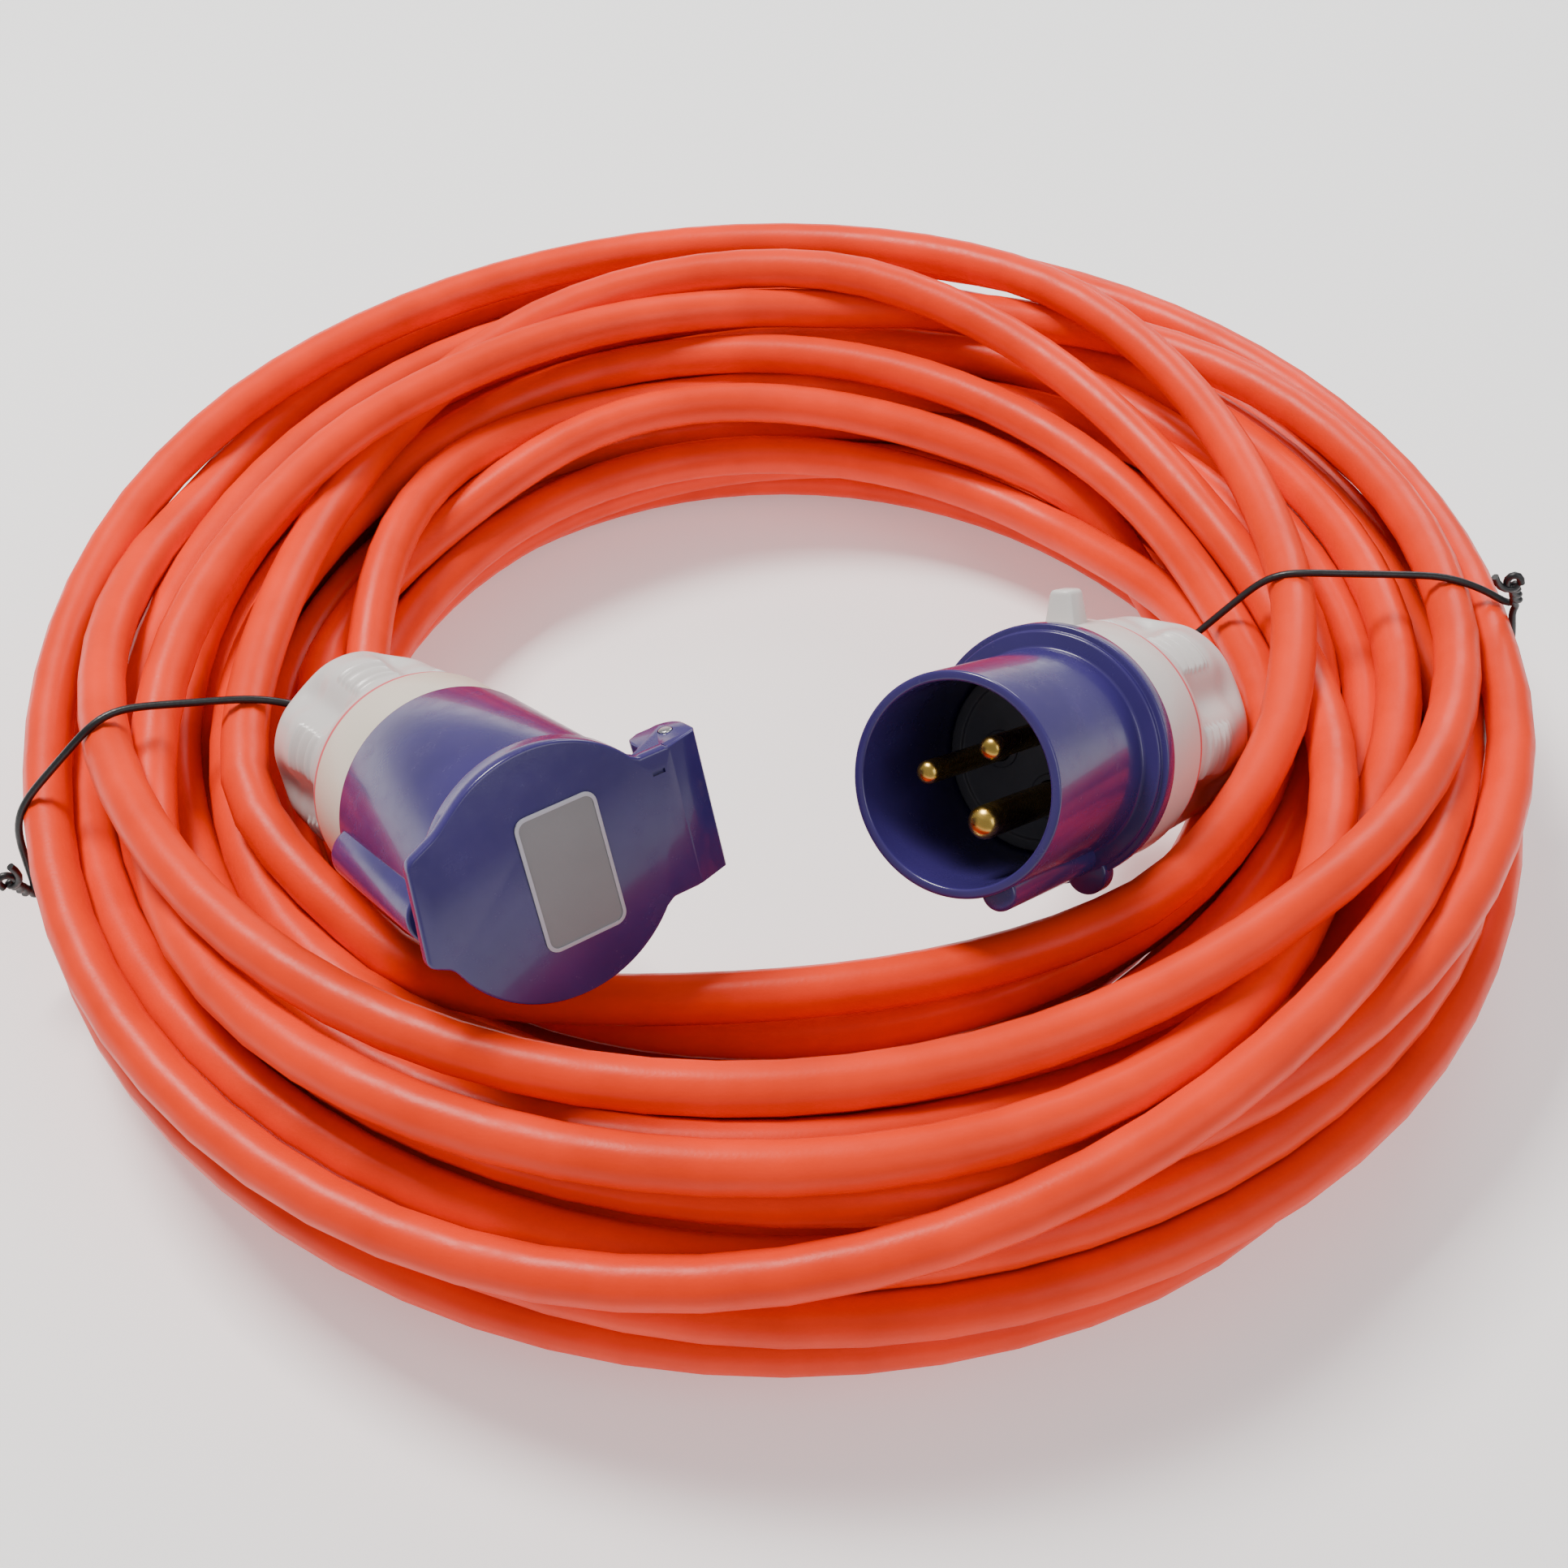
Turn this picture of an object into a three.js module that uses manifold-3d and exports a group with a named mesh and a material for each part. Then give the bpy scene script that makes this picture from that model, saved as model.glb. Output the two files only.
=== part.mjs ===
// A heavy-duty extension lead: a round coil of thick cable held by two wire ties, with a
// three-pin pin-and-sleeve plug on one end and a socket with a sprung lid on the other.
// Millimetres, +Z up. The coil lies on Z = 0, centred on the origin.
import * as THREE from 'three';
import { mergeVertices } from 'three/addons/utils/BufferGeometryUtils.js';
import Module from 'manifold-3d';

const wasm = await Module();
wasm.setup();

// ---- driving dimensions -------------------------------------------------------------
const GAP = 0.3;                 // running gap between touching pieces
const CABLE_RADIUS = 5.5;

const COIL_RADIUS = 143.5;       // centre of the bundle to the centre of the coil
const COIL_HALF_WIDTH = 45;
const COIL_HALF_HEIGHT = 39;
const COIL_FLOOR_CUT = 1.5;      // how much of the round bundle is pressed flat underneath

const TIE_WIRE_RADIUS = 1.0;
const TIE_BITE = 0.4;            // depth of the wire's outer side below the bundle surface
const TIE_RIGHT_AZIMUTH = 4;     // degrees round the coil
const TIE_LEFT_AZIMUTH = 195;
const TIE_TAIL_LENGTH = 13;
const TAIL_RADIUS = 1.4;         // the two ends of the wire twisted together

// Where each gland ends: inwards of the bundle's centre, degrees round the coil, height.
const PLUG_GLAND = { inset: 49.12, azimuth: -10.61, height: 41.69 };
const PLUG_TURN = { heading: 232.2, tilt: 28.8, roll: 44.3 };
const SHROUD_RADIUS = 23.5;
const SHROUD_WALL = 2.2;
const SHROUD_LENGTH = 41;
const FLANGE_OVERHANG = 5.4;
const FLANGE_THICKNESS = 5;
const KEY_RADIUS = 3.9;
const PLUG_COLLAR_LENGTH = 17.2;
const PLUG_NUT_LENGTH = 44;
const NOSE_WIDTH = 6.8;
const NOSE_HEIGHT = 7;

const SOCKET_GLAND = { inset: 36.3, azimuth: 199.48, height: 52.52 };
const SOCKET_TURN = { heading: 304.8, tilt: 23.4, roll: -91.8 };
const SOCKET_WALL = 1.9;
const SOCKET_DEPTH = 42;         // how far the mating shroud goes in
const SOCKET_LENGTH = 40.5;      // blue part of the housing
const SOCKET_COLLAR_LENGTH = 16.2;
const SOCKET_NUT_LENGTH = 42;

const PIN_CIRCLE_RADIUS = 9.1;
const LIVE_PIN_RADIUS = 2.5;
const EARTH_PIN_RADIUS = 3.5;
const PIN_REACH = 37;            // pin tips, ahead of the flange face
const TERMINAL_LENGTH = 10;
const TERMINAL_WALL = 1.9;
const CORE_RADIUS = 1.7;
const SCREW_RADIUS = 1.25;

const LID_OVERHANG = 0.9;
const LID_THICKNESS = 2.6;
const LID_SKIRT = 2.6;
const HINGE_STANDOFF = 6.7;      // hinge axis from the housing's surface
const HINGE_WIDTH = 31.2;
const HINGE_PIN_RADIUS = 1.45;
const KNUCKLE_RADIUS = 4.5;
const EAR_WIDTH = 8;
const LABEL_WIDTH = 28.5;
const LABEL_HEIGHT = 18.6;

const NECK_INSET = 7.5;          // collar's outer surface to the neck's
const NECK_WALL = 2.2;
const NUT_WAIST = 3.4;           // how far the grip narrows behind the collar
const NUT_LOBES = 6;
const LEAD_LENGTH = 24;          // straight cable behind each gland

// ---- dimensions that follow ---------------------------------------------------------
const COIL_CENTRE_HEIGHT = COIL_HALF_HEIGHT - COIL_FLOOR_CUT;
const SHROUD_BORE = SHROUD_RADIUS - SHROUD_WALL;
const FLANGE_RADIUS = SHROUD_RADIUS + FLANGE_OVERHANG;
const SOCKET_BORE = SHROUD_RADIUS + 0.4;
const SOCKET_RADIUS = SOCKET_BORE + SOCKET_WALL;
const HINGE_OFFSET = SOCKET_RADIUS + HINGE_STANDOFF;
const CONTACT_ANGLES = { line: 150, neutral: 30, earth: 270 };

// ---- materials ----------------------------------------------------------------------
function finish(color, roughness, metalness) {
  return () => new THREE.MeshStandardMaterial({ color, roughness, metalness });
}
const orangeSheath = finish(0xea5a22, 0.35, 0);
const blueShell = finish(0x34348c, 0.25, 0);
const whiteShell = finish(0xe4dcd6, 0.4, 0);
const darkInsert = finish(0x2a2b33, 0.6, 0);
const brass = finish(0xc9a24a, 0.3, 1);
const steel = finish(0xb9bcc0, 0.3, 1);
const blackWire = finish(0x151515, 0.5, 0);
const greyRubber = finish(0x4a4a4c, 0.8, 0);
const pinkSeal = finish(0xe6a196, 0.6, 0);
const labelGrey = finish(0xa3a5ac, 0.4, 0);
const brownCore = finish(0x5a3320, 0.5, 0);
const blueCore = finish(0x2c56b0, 0.5, 0);
const earthCore = finish(0x6ea83a, 0.5, 0);

// ---- solids -------------------------------------------------------------------------
function closedGeometry(geometry) {
  const bare = geometry.clone();
  bare.deleteAttribute('normal');
  bare.deleteAttribute('uv');
  const merged = mergeVertices(bare, 1e-4);
  const index = merged.index.array;
  const place = merged.attributes.position;
  const kept = [];
  let volume = 0;
  const [a, b, c] = [new THREE.Vector3(), new THREE.Vector3(), new THREE.Vector3()];
  for (let i = 0; i < index.length; i += 3) {
    const [p, q, r] = [index[i], index[i + 1], index[i + 2]];
    if (p === q || q === r || r === p) continue;
    kept.push(p, q, r);
    a.fromBufferAttribute(place, p);
    b.fromBufferAttribute(place, q);
    c.fromBufferAttribute(place, r);
    volume += a.dot(b.cross(c));
  }
  if (volume < 0) {
    kept.reverse();
  }
  merged.setIndex(kept);
  return merged;
}

function toSolid(geometry) {
  const closed = closedGeometry(geometry);
  return new wasm.Manifold(new wasm.Mesh({
    numProp: 3,
    vertProperties: new Float32Array(closed.attributes.position.array),
    triVerts: new Uint32Array(closed.index.array),
  }));
}

function toGeometry(solid) {
  const mesh = solid.getMesh();
  const geometry = new THREE.BufferGeometry();
  geometry.setAttribute('position', new THREE.BufferAttribute(mesh.vertProperties, 3));
  geometry.setIndex(new THREE.BufferAttribute(mesh.triVerts, 1));
  return geometry;
}

function cut(base, ...tools) {
  let solid = toSolid(base);
  for (const tool of tools) {
    solid = solid.subtract(toSolid(tool));
  }
  return toGeometry(solid);
}

function join(base, ...others) {
  let solid = toSolid(base);
  for (const other of others) {
    solid = solid.add(toSolid(other));
  }
  return toGeometry(solid);
}

// A solid of revolution about Z. The outline is a list of [radius, z].
function turned(outline, segments = 24) {
  const points = outline.map(([radius, z]) => new THREE.Vector2(radius, z));
  const geometry = new THREE.LatheGeometry(points, segments);
  geometry.rotateX(Math.PI / 2);
  return geometry;
}

function rod(radius, from, to, segments = 12) {
  return turned([[0, from], [radius, from], [radius, to], [0, to]], segments);
}

function sleeve(inner, outer, from, to, segments = 24) {
  return turned([[inner, from], [outer, from], [outer, to], [inner, to], [inner, from]], segments);
}

function block(xs, ys, zs) {
  const geometry = new THREE.BoxGeometry(xs[1] - xs[0], ys[1] - ys[0], zs[1] - zs[0]);
  geometry.translate((xs[0] + xs[1]) / 2, (ys[0] + ys[1]) / 2, (zs[0] + zs[1]) / 2);
  return geometry;
}

function bead(radius, x, y, from, to, segments = 12) {
  return rod(radius, from, to, segments).translate(x, y, 0);
}

// A cylinder lying along X.
function crossRod(radius, xs, y, z, segments = 12) {
  return rod(radius, xs[0], xs[1], segments).rotateY(Math.PI / 2).translate(0, y, z);
}

function tube(points, radius, steps, sides = 8) {
  const section = new THREE.Shape();
  for (let i = 0; i < sides; i += 1) {
    const angle = (2 * Math.PI * i) / sides;
    const [x, y] = [radius * Math.cos(angle), radius * Math.sin(angle)];
    if (i === 0) section.moveTo(x, y);
    else section.lineTo(x, y);
  }
  section.closePath();
  const path = new THREE.CatmullRomCurve3(points, false, 'centripetal');
  return new THREE.ExtrudeGeometry(section, { steps, extrudePath: path, bevelEnabled: false });
}

function part(name, geometry, material) {
  const closed = closedGeometry(geometry);
  closed.computeVertexNormals();
  const mesh = new THREE.Mesh(closed, material());
  mesh.name = name;
  return mesh;
}

// A frame whose Z points along the heading and tilt, turned about itself by the roll. Its
// point at glandZ on that axis is the gland's end.
function poseMatrix({ inset, azimuth, height }, { heading, tilt, roll }, glandZ) {
  const [h, t, r] = [heading, tilt, roll].map(THREE.MathUtils.degToRad);
  const forward = new THREE.Vector3(Math.cos(t) * Math.cos(h), Math.cos(t) * Math.sin(h), Math.sin(t));
  const upright = new THREE.Vector3(0, 0, 1).addScaledVector(forward, -forward.z).normalize();
  const side = upright.clone().cross(forward);
  const x = side.clone().multiplyScalar(Math.cos(r)).addScaledVector(upright, Math.sin(r));
  const y = upright.clone().multiplyScalar(Math.cos(r)).addScaledVector(side, -Math.sin(r));
  const round = THREE.MathUtils.degToRad(azimuth);
  const reach = COIL_RADIUS - inset;
  const origin = new THREE.Vector3(reach * Math.cos(round), reach * Math.sin(round), height);
  origin.addScaledVector(forward, -glandZ);
  return new THREE.Matrix4().makeBasis(x, y, forward).setPosition(origin);
}

function posedGroup(matrix, pieces) {
  const group = new THREE.Group();
  group.add(...pieces);
  group.applyMatrix4(matrix);
  return group;
}

// ---- rear end, alike on the plug and on the socket ----------------------------------
// The collar screws to the front body. Its threaded neck carries the gland nut, which
// squeezes a clamp ring and a rubber seal onto the cable.
function rearEnd(prefix, { front, collarRadius, spigotRadius, spigotBack, collarLength, nutLength }) {
  const collarBack = front - collarLength;
  const neckRadius = collarRadius - NECK_INSET;
  const neckBore = neckRadius - NECK_WALL;
  const neckBack = collarBack - nutLength * 0.62;
  const webFront = neckBack + 13;
  const webBack = webFront - 2.5;
  const cableBore = CABLE_RADIUS + GAP;
  const collar = turned([
    [spigotRadius + GAP, front],
    [collarRadius, front],
    [collarRadius, collarBack],
    [neckRadius, collarBack],
    [neckRadius, neckBack],
    [neckBore, neckBack],
    [neckBore, webBack],
    [cableBore + 1.5, webBack],
    [cableBore + 1.5, webFront],
    [neckBore, webFront],
    [neckBore, collarBack + 2.5],
    [spigotRadius - 2.2, collarBack + 2.5],
    [spigotRadius - 2.2, spigotBack - GAP],
    [spigotRadius + GAP, spigotBack - GAP],
    [spigotRadius + GAP, front],
  ], 28);

  const sealThickness = 0.8;
  const seal = sleeve(neckRadius + GAP, collarRadius - 0.8, collarBack - GAP - sealThickness,
    collarBack - GAP, 28);

  const nutFront = collarBack - 2 * GAP - sealThickness;
  const nutBack = nutFront - nutLength;
  const coneFront = neckBack - GAP;
  const coneBack = nutBack + 6;
  const waist = collarRadius - NUT_WAIST;
  const nut = turned([
    [neckRadius + GAP, nutFront],
    [collarRadius - 0.9, nutFront],
    [waist + 0.8, nutFront - nutLength * 0.16],
    [waist, nutFront - nutLength * 0.34],
    [waist + 1.6, nutFront - nutLength * 0.58],
    [waist + 1.2, nutFront - nutLength * 0.78],
    [waist - 3.5, nutFront - nutLength * 0.92],
    [waist - 10, nutBack],
    [cableBore + 0.4, nutBack],
    [cableBore + 0.4, coneBack],
    [cableBore + 3.2, coneBack],
    [neckBore, coneFront],
    [neckRadius + GAP, coneFront],
    [neckRadius + GAP, nutFront],
  ], 28);
  const valleys = [];
  for (let i = 0; i < NUT_LOBES; i += 1) {
    const angle = (2 * Math.PI * (i + 0.5)) / NUT_LOBES;
    const reach = waist + 3.6;
    valleys.push(bead(5, reach * Math.cos(angle), reach * Math.sin(angle),
      nutFront - nutLength * 0.72, nutFront - nutLength * 0.2, 8));
  }

  // The clamp ring's rear follows the nut's cone, a little inside it.
  const clampOuter = neckBore - GAP;
  const coneSlope = (neckBore - cableBore - 3.2) / (coneFront - coneBack);
  const clampTip = coneBack + 1.2;
  const clampTipRadius = clampOuter - coneSlope * (coneFront - clampTip);
  const grommetRadius = cableBore + 2.4;
  const clamp = turned([
    [grommetRadius + GAP, webBack - GAP],
    [clampOuter, webBack - GAP],
    [clampOuter, coneFront],
    [Math.max(clampTipRadius, grommetRadius + 0.8), clampTip],
    [grommetRadius + GAP, clampTip],
    [grommetRadius + GAP, webBack - GAP],
  ], 20);
  const grommet = sleeve(cableBore, grommetRadius, coneBack + GAP, webBack - GAP, 16);

  return {
    pieces: [
      part(`${prefix}_seal_ring`, seal, pinkSeal),
      part(`${prefix}_gland_nut`, cut(nut, ...valleys), whiteShell),
      part(`${prefix}_clamp_ring`, clamp, darkInsert),
      part(`${prefix}_cable_seal`, grommet, greyRubber),
    ],
    collar,
    collarBack,
    nutFront,
    nutBack,
    jacketStart: webFront + 2,
  };
}

// A brass terminal: the thick rear of a pin or sleeve, with the core's hole along it and
// the screw's hole from the side. It ends against the back of the insert.
function terminal(body, radius, front, angle) {
  const back = front - TERMINAL_LENGTH;
  const middle = front - TERMINAL_LENGTH / 2;
  const outward = THREE.MathUtils.degToRad(angle);
  const coreHole = rod(CORE_RADIUS + GAP, back - 1, front - 2, 12);
  const screwHole = rod(SCREW_RADIUS + GAP, 0, radius + 1, 10);
  screwHole.rotateY(Math.PI / 2).rotateZ(outward).translate(0, 0, middle);
  return cut(join(body, rod(radius, back, front, 14)), coreHole, screwHole);
}

function terminalScrew(radius, front, angle) {
  const shank = turned([
    [0, CORE_RADIUS + 0.4],
    [SCREW_RADIUS, CORE_RADIUS + 0.4],
    [SCREW_RADIUS, radius + 0.2],
    [SCREW_RADIUS + 0.8, radius + 0.2],
    [SCREW_RADIUS + 0.8, radius + 1],
    [0, radius + 1],
  ], 8);
  shank.rotateY(Math.PI / 2).rotateZ(THREE.MathUtils.degToRad(angle));
  return shank.translate(0, 0, front - TERMINAL_LENGTH / 2);
}

// Room for a terminal where the collar's bore is too narrow for it.
function terminalRelief(radius, front, x, y) {
  return bead(radius + GAP, x, y, front - TERMINAL_LENGTH - GAP, front);
}

function contactPlace(angle) {
  const turn = THREE.MathUtils.degToRad(angle);
  return [PIN_CIRCLE_RADIUS * Math.cos(turn), PIN_CIRCLE_RADIUS * Math.sin(turn)];
}

// Three insulated cores run from the terminals into the end of the cable's jacket.
function cores(prefix, terminalFront, jacketStart) {
  const colours = { line: brownCore, neutral: blueCore, earth: earthCore };
  const names = { line: 'core_brown', neutral: 'core_blue', earth: 'core_green_yellow' };
  const entry = terminalFront - 2 - GAP;
  const terminalBack = terminalFront - TERMINAL_LENGTH;
  const bundleRadius = CABLE_RADIUS - CORE_RADIUS - 0.9;
  return Object.entries(CONTACT_ANGLES).map(([role, angle]) => {
    const [x, y] = contactPlace(angle);
    const [u, v] = [x, y].map((value) => (value * bundleRadius) / PIN_CIRCLE_RADIUS);
    const end = jacketStart + 2 * GAP;
    const span = terminalBack - end;
    const points = [
      new THREE.Vector3(x, y, entry),
      new THREE.Vector3(x, y, terminalBack + 3),
      new THREE.Vector3(x, y, terminalBack - span * 0.08),
      new THREE.Vector3((x * 2 + u) / 3, (y * 2 + v) / 3, terminalBack - span * 0.4),
      new THREE.Vector3((x + u * 3) / 4, (y + v * 3) / 4, terminalBack - span * 0.7),
      new THREE.Vector3(u, v, end + 3),
      new THREE.Vector3(u, v, end),
    ];
    return part(`${prefix}_${names[role]}`, tube(points, CORE_RADIUS, 7, 8), colours[role]);
  });
}

function cableLead(name, jacketStart, nutBack) {
  return part(name, rod(CABLE_RADIUS, nutBack - LEAD_LENGTH, jacketStart, 12), orangeSheath);
}

// ---- plug ---------------------------------------------------------------------------
function makePlug() {
  const spigotBack = -FLANGE_THICKNESS - 12;
  const spigotRadius = SHROUD_RADIUS + 1.2;
  const shroudShape = turned([
    [SHROUD_BORE, SHROUD_LENGTH],
    [SHROUD_RADIUS, SHROUD_LENGTH],
    [SHROUD_RADIUS, 0],
    [FLANGE_RADIUS, 0],
    [FLANGE_RADIUS, -FLANGE_THICKNESS],
    [spigotRadius, -FLANGE_THICKNESS],
    [spigotRadius, spigotBack],
    [SHROUD_BORE, spigotBack],
    [SHROUD_BORE, SHROUD_LENGTH],
  ], 36);
  const key = bead(KEY_RADIUS, 0, -SHROUD_RADIUS, -1, SHROUD_LENGTH - 1.5);
  const flangeLump = bead(KEY_RADIUS + 0.8, 0, -FLANGE_RADIUS + 1.4, -FLANGE_THICKNESS, 0);
  const bore = rod(SHROUD_BORE, spigotBack - 1, SHROUD_LENGTH + 1, 36);
  const shroud = cut(join(shroudShape, key, flangeLump), bore);

  const insertFront = 2.5;
  const insertBack = spigotBack + 3;
  const holes = Object.entries(CONTACT_ANGLES).map(([role, angle]) => {
    const [x, y] = contactPlace(angle);
    const radius = (role === 'earth' ? EARTH_PIN_RADIUS : LIVE_PIN_RADIUS) + GAP;
    return bead(radius, x, y, insertBack - 1, insertFront + 1);
  });
  const insert = cut(rod(SHROUD_BORE - GAP, insertBack, insertFront, 36), ...holes);

  const terminalFront = insertBack - GAP;
  const pins = [];
  const screws = [];
  const reliefs = [];
  for (const [role, angle] of Object.entries(CONTACT_ANGLES)) {
    const [x, y] = contactPlace(angle);
    const radius = role === 'earth' ? EARTH_PIN_RADIUS : LIVE_PIN_RADIUS;
    const headRadius = Math.max(radius, CORE_RADIUS) + TERMINAL_WALL;
    const body = turned([
      [0, terminalFront - 1],
      [radius, terminalFront - 1],
      [radius, PIN_REACH - radius * 0.5],
      [radius * 0.85, PIN_REACH - radius * 0.2],
      [radius * 0.4, PIN_REACH],
      [0, PIN_REACH],
    ], 12);
    const pin = terminal(body, headRadius, terminalFront, angle).translate(x, y, 0);
    pins.push(part(`plug_pin_${role}`, pin, brass));
    const screw = terminalScrew(headRadius, terminalFront, angle).translate(x, y, 0);
    screws.push(part(`plug_terminal_screw_${role}`, screw, steel));
    reliefs.push(terminalRelief(headRadius, terminalFront, x, y));
  }

  const rear = rearEnd('plug', {
    front: -FLANGE_THICKNESS - GAP,
    collarRadius: FLANGE_RADIUS - 0.9,
    spigotRadius,
    spigotBack,
    collarLength: PLUG_COLLAR_LENGTH,
    nutLength: PLUG_NUT_LENGTH,
  });
  const collarRadius = FLANGE_RADIUS - 0.9;
  const nose = block([-NOSE_WIDTH / 2, NOSE_WIDTH / 2], [collarRadius - 1.5, collarRadius + NOSE_HEIGHT],
    [rear.collarBack + 6, rear.collarBack + 14]);

  const group = [
    part('plug_shroud', shroud, blueShell),
    part('plug_contact_insert', insert, darkInsert),
    ...pins,
    ...screws,
    part('plug_collar', cut(join(rear.collar, nose), ...reliefs), whiteShell),
    ...rear.pieces,
    ...cores('plug', terminalFront, rear.jacketStart),
    cableLead('cable_to_plug', rear.jacketStart, rear.nutBack),
  ];
  const nest = [
    [0, SHROUD_LENGTH + 3],
    [SHROUD_RADIUS + KEY_RADIUS + 1.5, SHROUD_LENGTH + 3],
    [FLANGE_RADIUS + KEY_RADIUS + 1, 1],
    [FLANGE_RADIUS + KEY_RADIUS + 1, -FLANGE_THICKNESS - 1],
    [FLANGE_RADIUS + 1, rear.collarBack],
    [FLANGE_RADIUS - 0.6, rear.nutFront - PLUG_NUT_LENGTH * 0.75],
    [FLANGE_RADIUS - 9, rear.nutBack - 2],
  ];
  return { group, nest, nutBack: rear.nutBack };
}

// ---- socket -------------------------------------------------------------------------
function makeSocket() {
  const insertRadius = SHROUD_BORE - 0.5;
  const grooveFloor = SOCKET_LENGTH - SOCKET_DEPTH;
  const spigotBack = grooveFloor - 12;
  const spigotRadius = insertRadius + GAP + 2.6;
  const housingShape = turned([
    [insertRadius + GAP, spigotBack],
    [spigotRadius, spigotBack],
    [spigotRadius, grooveFloor - 2.5],
    [SOCKET_RADIUS, grooveFloor - 2.5],
    [SOCKET_RADIUS, SOCKET_LENGTH],
    [SOCKET_BORE, SOCKET_LENGTH],
    [SOCKET_BORE, grooveFloor],
    [insertRadius + GAP, grooveFloor],
    [insertRadius + GAP, spigotBack],
  ], 36);
  const hingeHeight = SOCKET_LENGTH - 2;
  const keyBulge = bead(KEY_RADIUS + 2.1, 0, -SHROUD_RADIUS, grooveFloor, SOCKET_LENGTH);
  const keySlot = bead(KEY_RADIUS + 0.4, 0, -SHROUD_RADIUS, grooveFloor + 2, SOCKET_LENGTH + 1);
  const ear = join(
    block([-EAR_WIDTH / 2, EAR_WIDTH / 2], [SOCKET_BORE + 1, HINGE_OFFSET],
      [hingeHeight - 7, SOCKET_LENGTH - 0.2]),
    crossRod(KNUCKLE_RADIUS - GAP, [-EAR_WIDTH / 2, EAR_WIDTH / 2], HINGE_OFFSET, hingeHeight),
  );
  const pinBore = crossRod(HINGE_PIN_RADIUS + GAP, [-HINGE_WIDTH, HINGE_WIDTH], HINGE_OFFSET, hingeHeight);
  const mouth = rod(SOCKET_BORE, grooveFloor, SOCKET_LENGTH + 1, 36);
  const housing = cut(join(housingShape, keyBulge, ear), mouth, keySlot, pinBore);

  const insertBack = spigotBack + 3;
  const insertFront = SOCKET_LENGTH - 1.5;
  const holes = [];
  const sleeves = [];
  const screws = [];
  const reliefs = [];
  const terminalFront = insertBack - GAP;
  for (const [role, angle] of Object.entries(CONTACT_ANGLES)) {
    const [x, y] = contactPlace(180 - angle);
    const bore = (role === 'earth' ? EARTH_PIN_RADIUS : LIVE_PIN_RADIUS) + 0.1;
    const outer = bore + 0.7;
    const headRadius = Math.max(outer, CORE_RADIUS + 1.2) + 0.5;
    holes.push(bead(outer + GAP, x, y, insertBack - 1, insertFront + 1));
    const body = turned([
      [0, terminalFront - 1],
      [outer, terminalFront - 1],
      [outer, insertFront - 4],
      [bore, insertFront - 4],
      [bore, 2],
      [0, 2],
    ], 12);
    const contact = terminal(body, headRadius, terminalFront, 180 - angle).translate(x, y, 0);
    sleeves.push(part(`socket_sleeve_${role}`, contact, brass));
    const screw = terminalScrew(headRadius, terminalFront, 180 - angle).translate(x, y, 0);
    screws.push(part(`socket_terminal_screw_${role}`, screw, steel));
    reliefs.push(terminalRelief(headRadius, terminalFront, x, y));
  }
  const insert = cut(rod(insertRadius, insertBack, insertFront, 36), ...holes);

  // Lid: plate, skirt, opening tab and two hinge knuckles in one moulding.
  const lidRadius = SOCKET_RADIUS + LID_OVERHANG;
  const skirtBottom = SOCKET_LENGTH + GAP;
  const plateBottom = skirtBottom + LID_SKIRT;
  const plateTop = plateBottom + LID_THICKNESS;
  const halfHinge = HINGE_WIDTH / 2;
  const knuckleWidth = 6.3;
  const dish = turned([
    [0, plateBottom],
    [lidRadius - 2.1, plateBottom],
    [lidRadius - 2.1, skirtBottom],
    [lidRadius, skirtBottom],
    [lidRadius, plateTop - 0.8],
    [lidRadius - 0.8, plateTop],
    [0, plateTop],
  ], 36);
  const keyReach = SHROUD_RADIUS + KEY_RADIUS + 3.4;
  const tab = block([-7.2, 7.2], [-keyReach, -lidRadius + 1.9], [skirtBottom, plateTop - 0.2]);
  const cover = block([-halfHinge, halfHinge], [lidRadius - 8, HINGE_OFFSET + KNUCKLE_RADIUS],
    [plateBottom, plateTop - 0.2]);
  const knuckles = [-1, 1].map((side) => block(
    side < 0 ? [-halfHinge, -halfHinge + knuckleWidth] : [halfHinge - knuckleWidth, halfHinge],
    [HINGE_OFFSET - KNUCKLE_RADIUS + 0.5, HINGE_OFFSET + KNUCKLE_RADIUS],
    [hingeHeight - KNUCKLE_RADIUS, plateBottom + 0.5],
  ));
  const lid = cut(join(dish, tab, cover, ...knuckles), pinBore);
  const lidSeal = sleeve(lidRadius - 6.2, lidRadius - 2.1 - GAP, skirtBottom, plateBottom - GAP, 28);
  const labelSpot = block([-LABEL_WIDTH / 2, LABEL_WIDTH / 2], [4.2 - LABEL_HEIGHT / 2, 4.2 + LABEL_HEIGHT / 2],
    [plateTop + 0.1, plateTop + 0.45]);
  const hingePin = crossRod(HINGE_PIN_RADIUS, [-halfHinge - 0.2, halfHinge + 0.2], HINGE_OFFSET, hingeHeight, 14);

  const springRadius = HINGE_PIN_RADIUS + GAP + 0.9;
  const springPoints = [];
  const springStart = EAR_WIDTH / 2 + GAP + 0.5;
  const springEnd = halfHinge - knuckleWidth - GAP - 0.5;
  for (let i = 0; i <= 27; i += 1) {
    const turn = (2 * Math.PI * i) / 9;
    springPoints.push(new THREE.Vector3(
      springStart + ((springEnd - springStart) * i) / 27,
      HINGE_OFFSET + springRadius * Math.cos(turn),
      hingeHeight + springRadius * Math.sin(turn),
    ));
  }
  const spring = tube(springPoints, 0.45, 30, 6);

  const rear = rearEnd('socket', {
    front: grooveFloor - 2.5 - GAP,
    collarRadius: SOCKET_RADIUS - 0.6,
    spigotRadius,
    spigotBack,
    collarLength: SOCKET_COLLAR_LENGTH,
    nutLength: SOCKET_NUT_LENGTH,
  });

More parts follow.
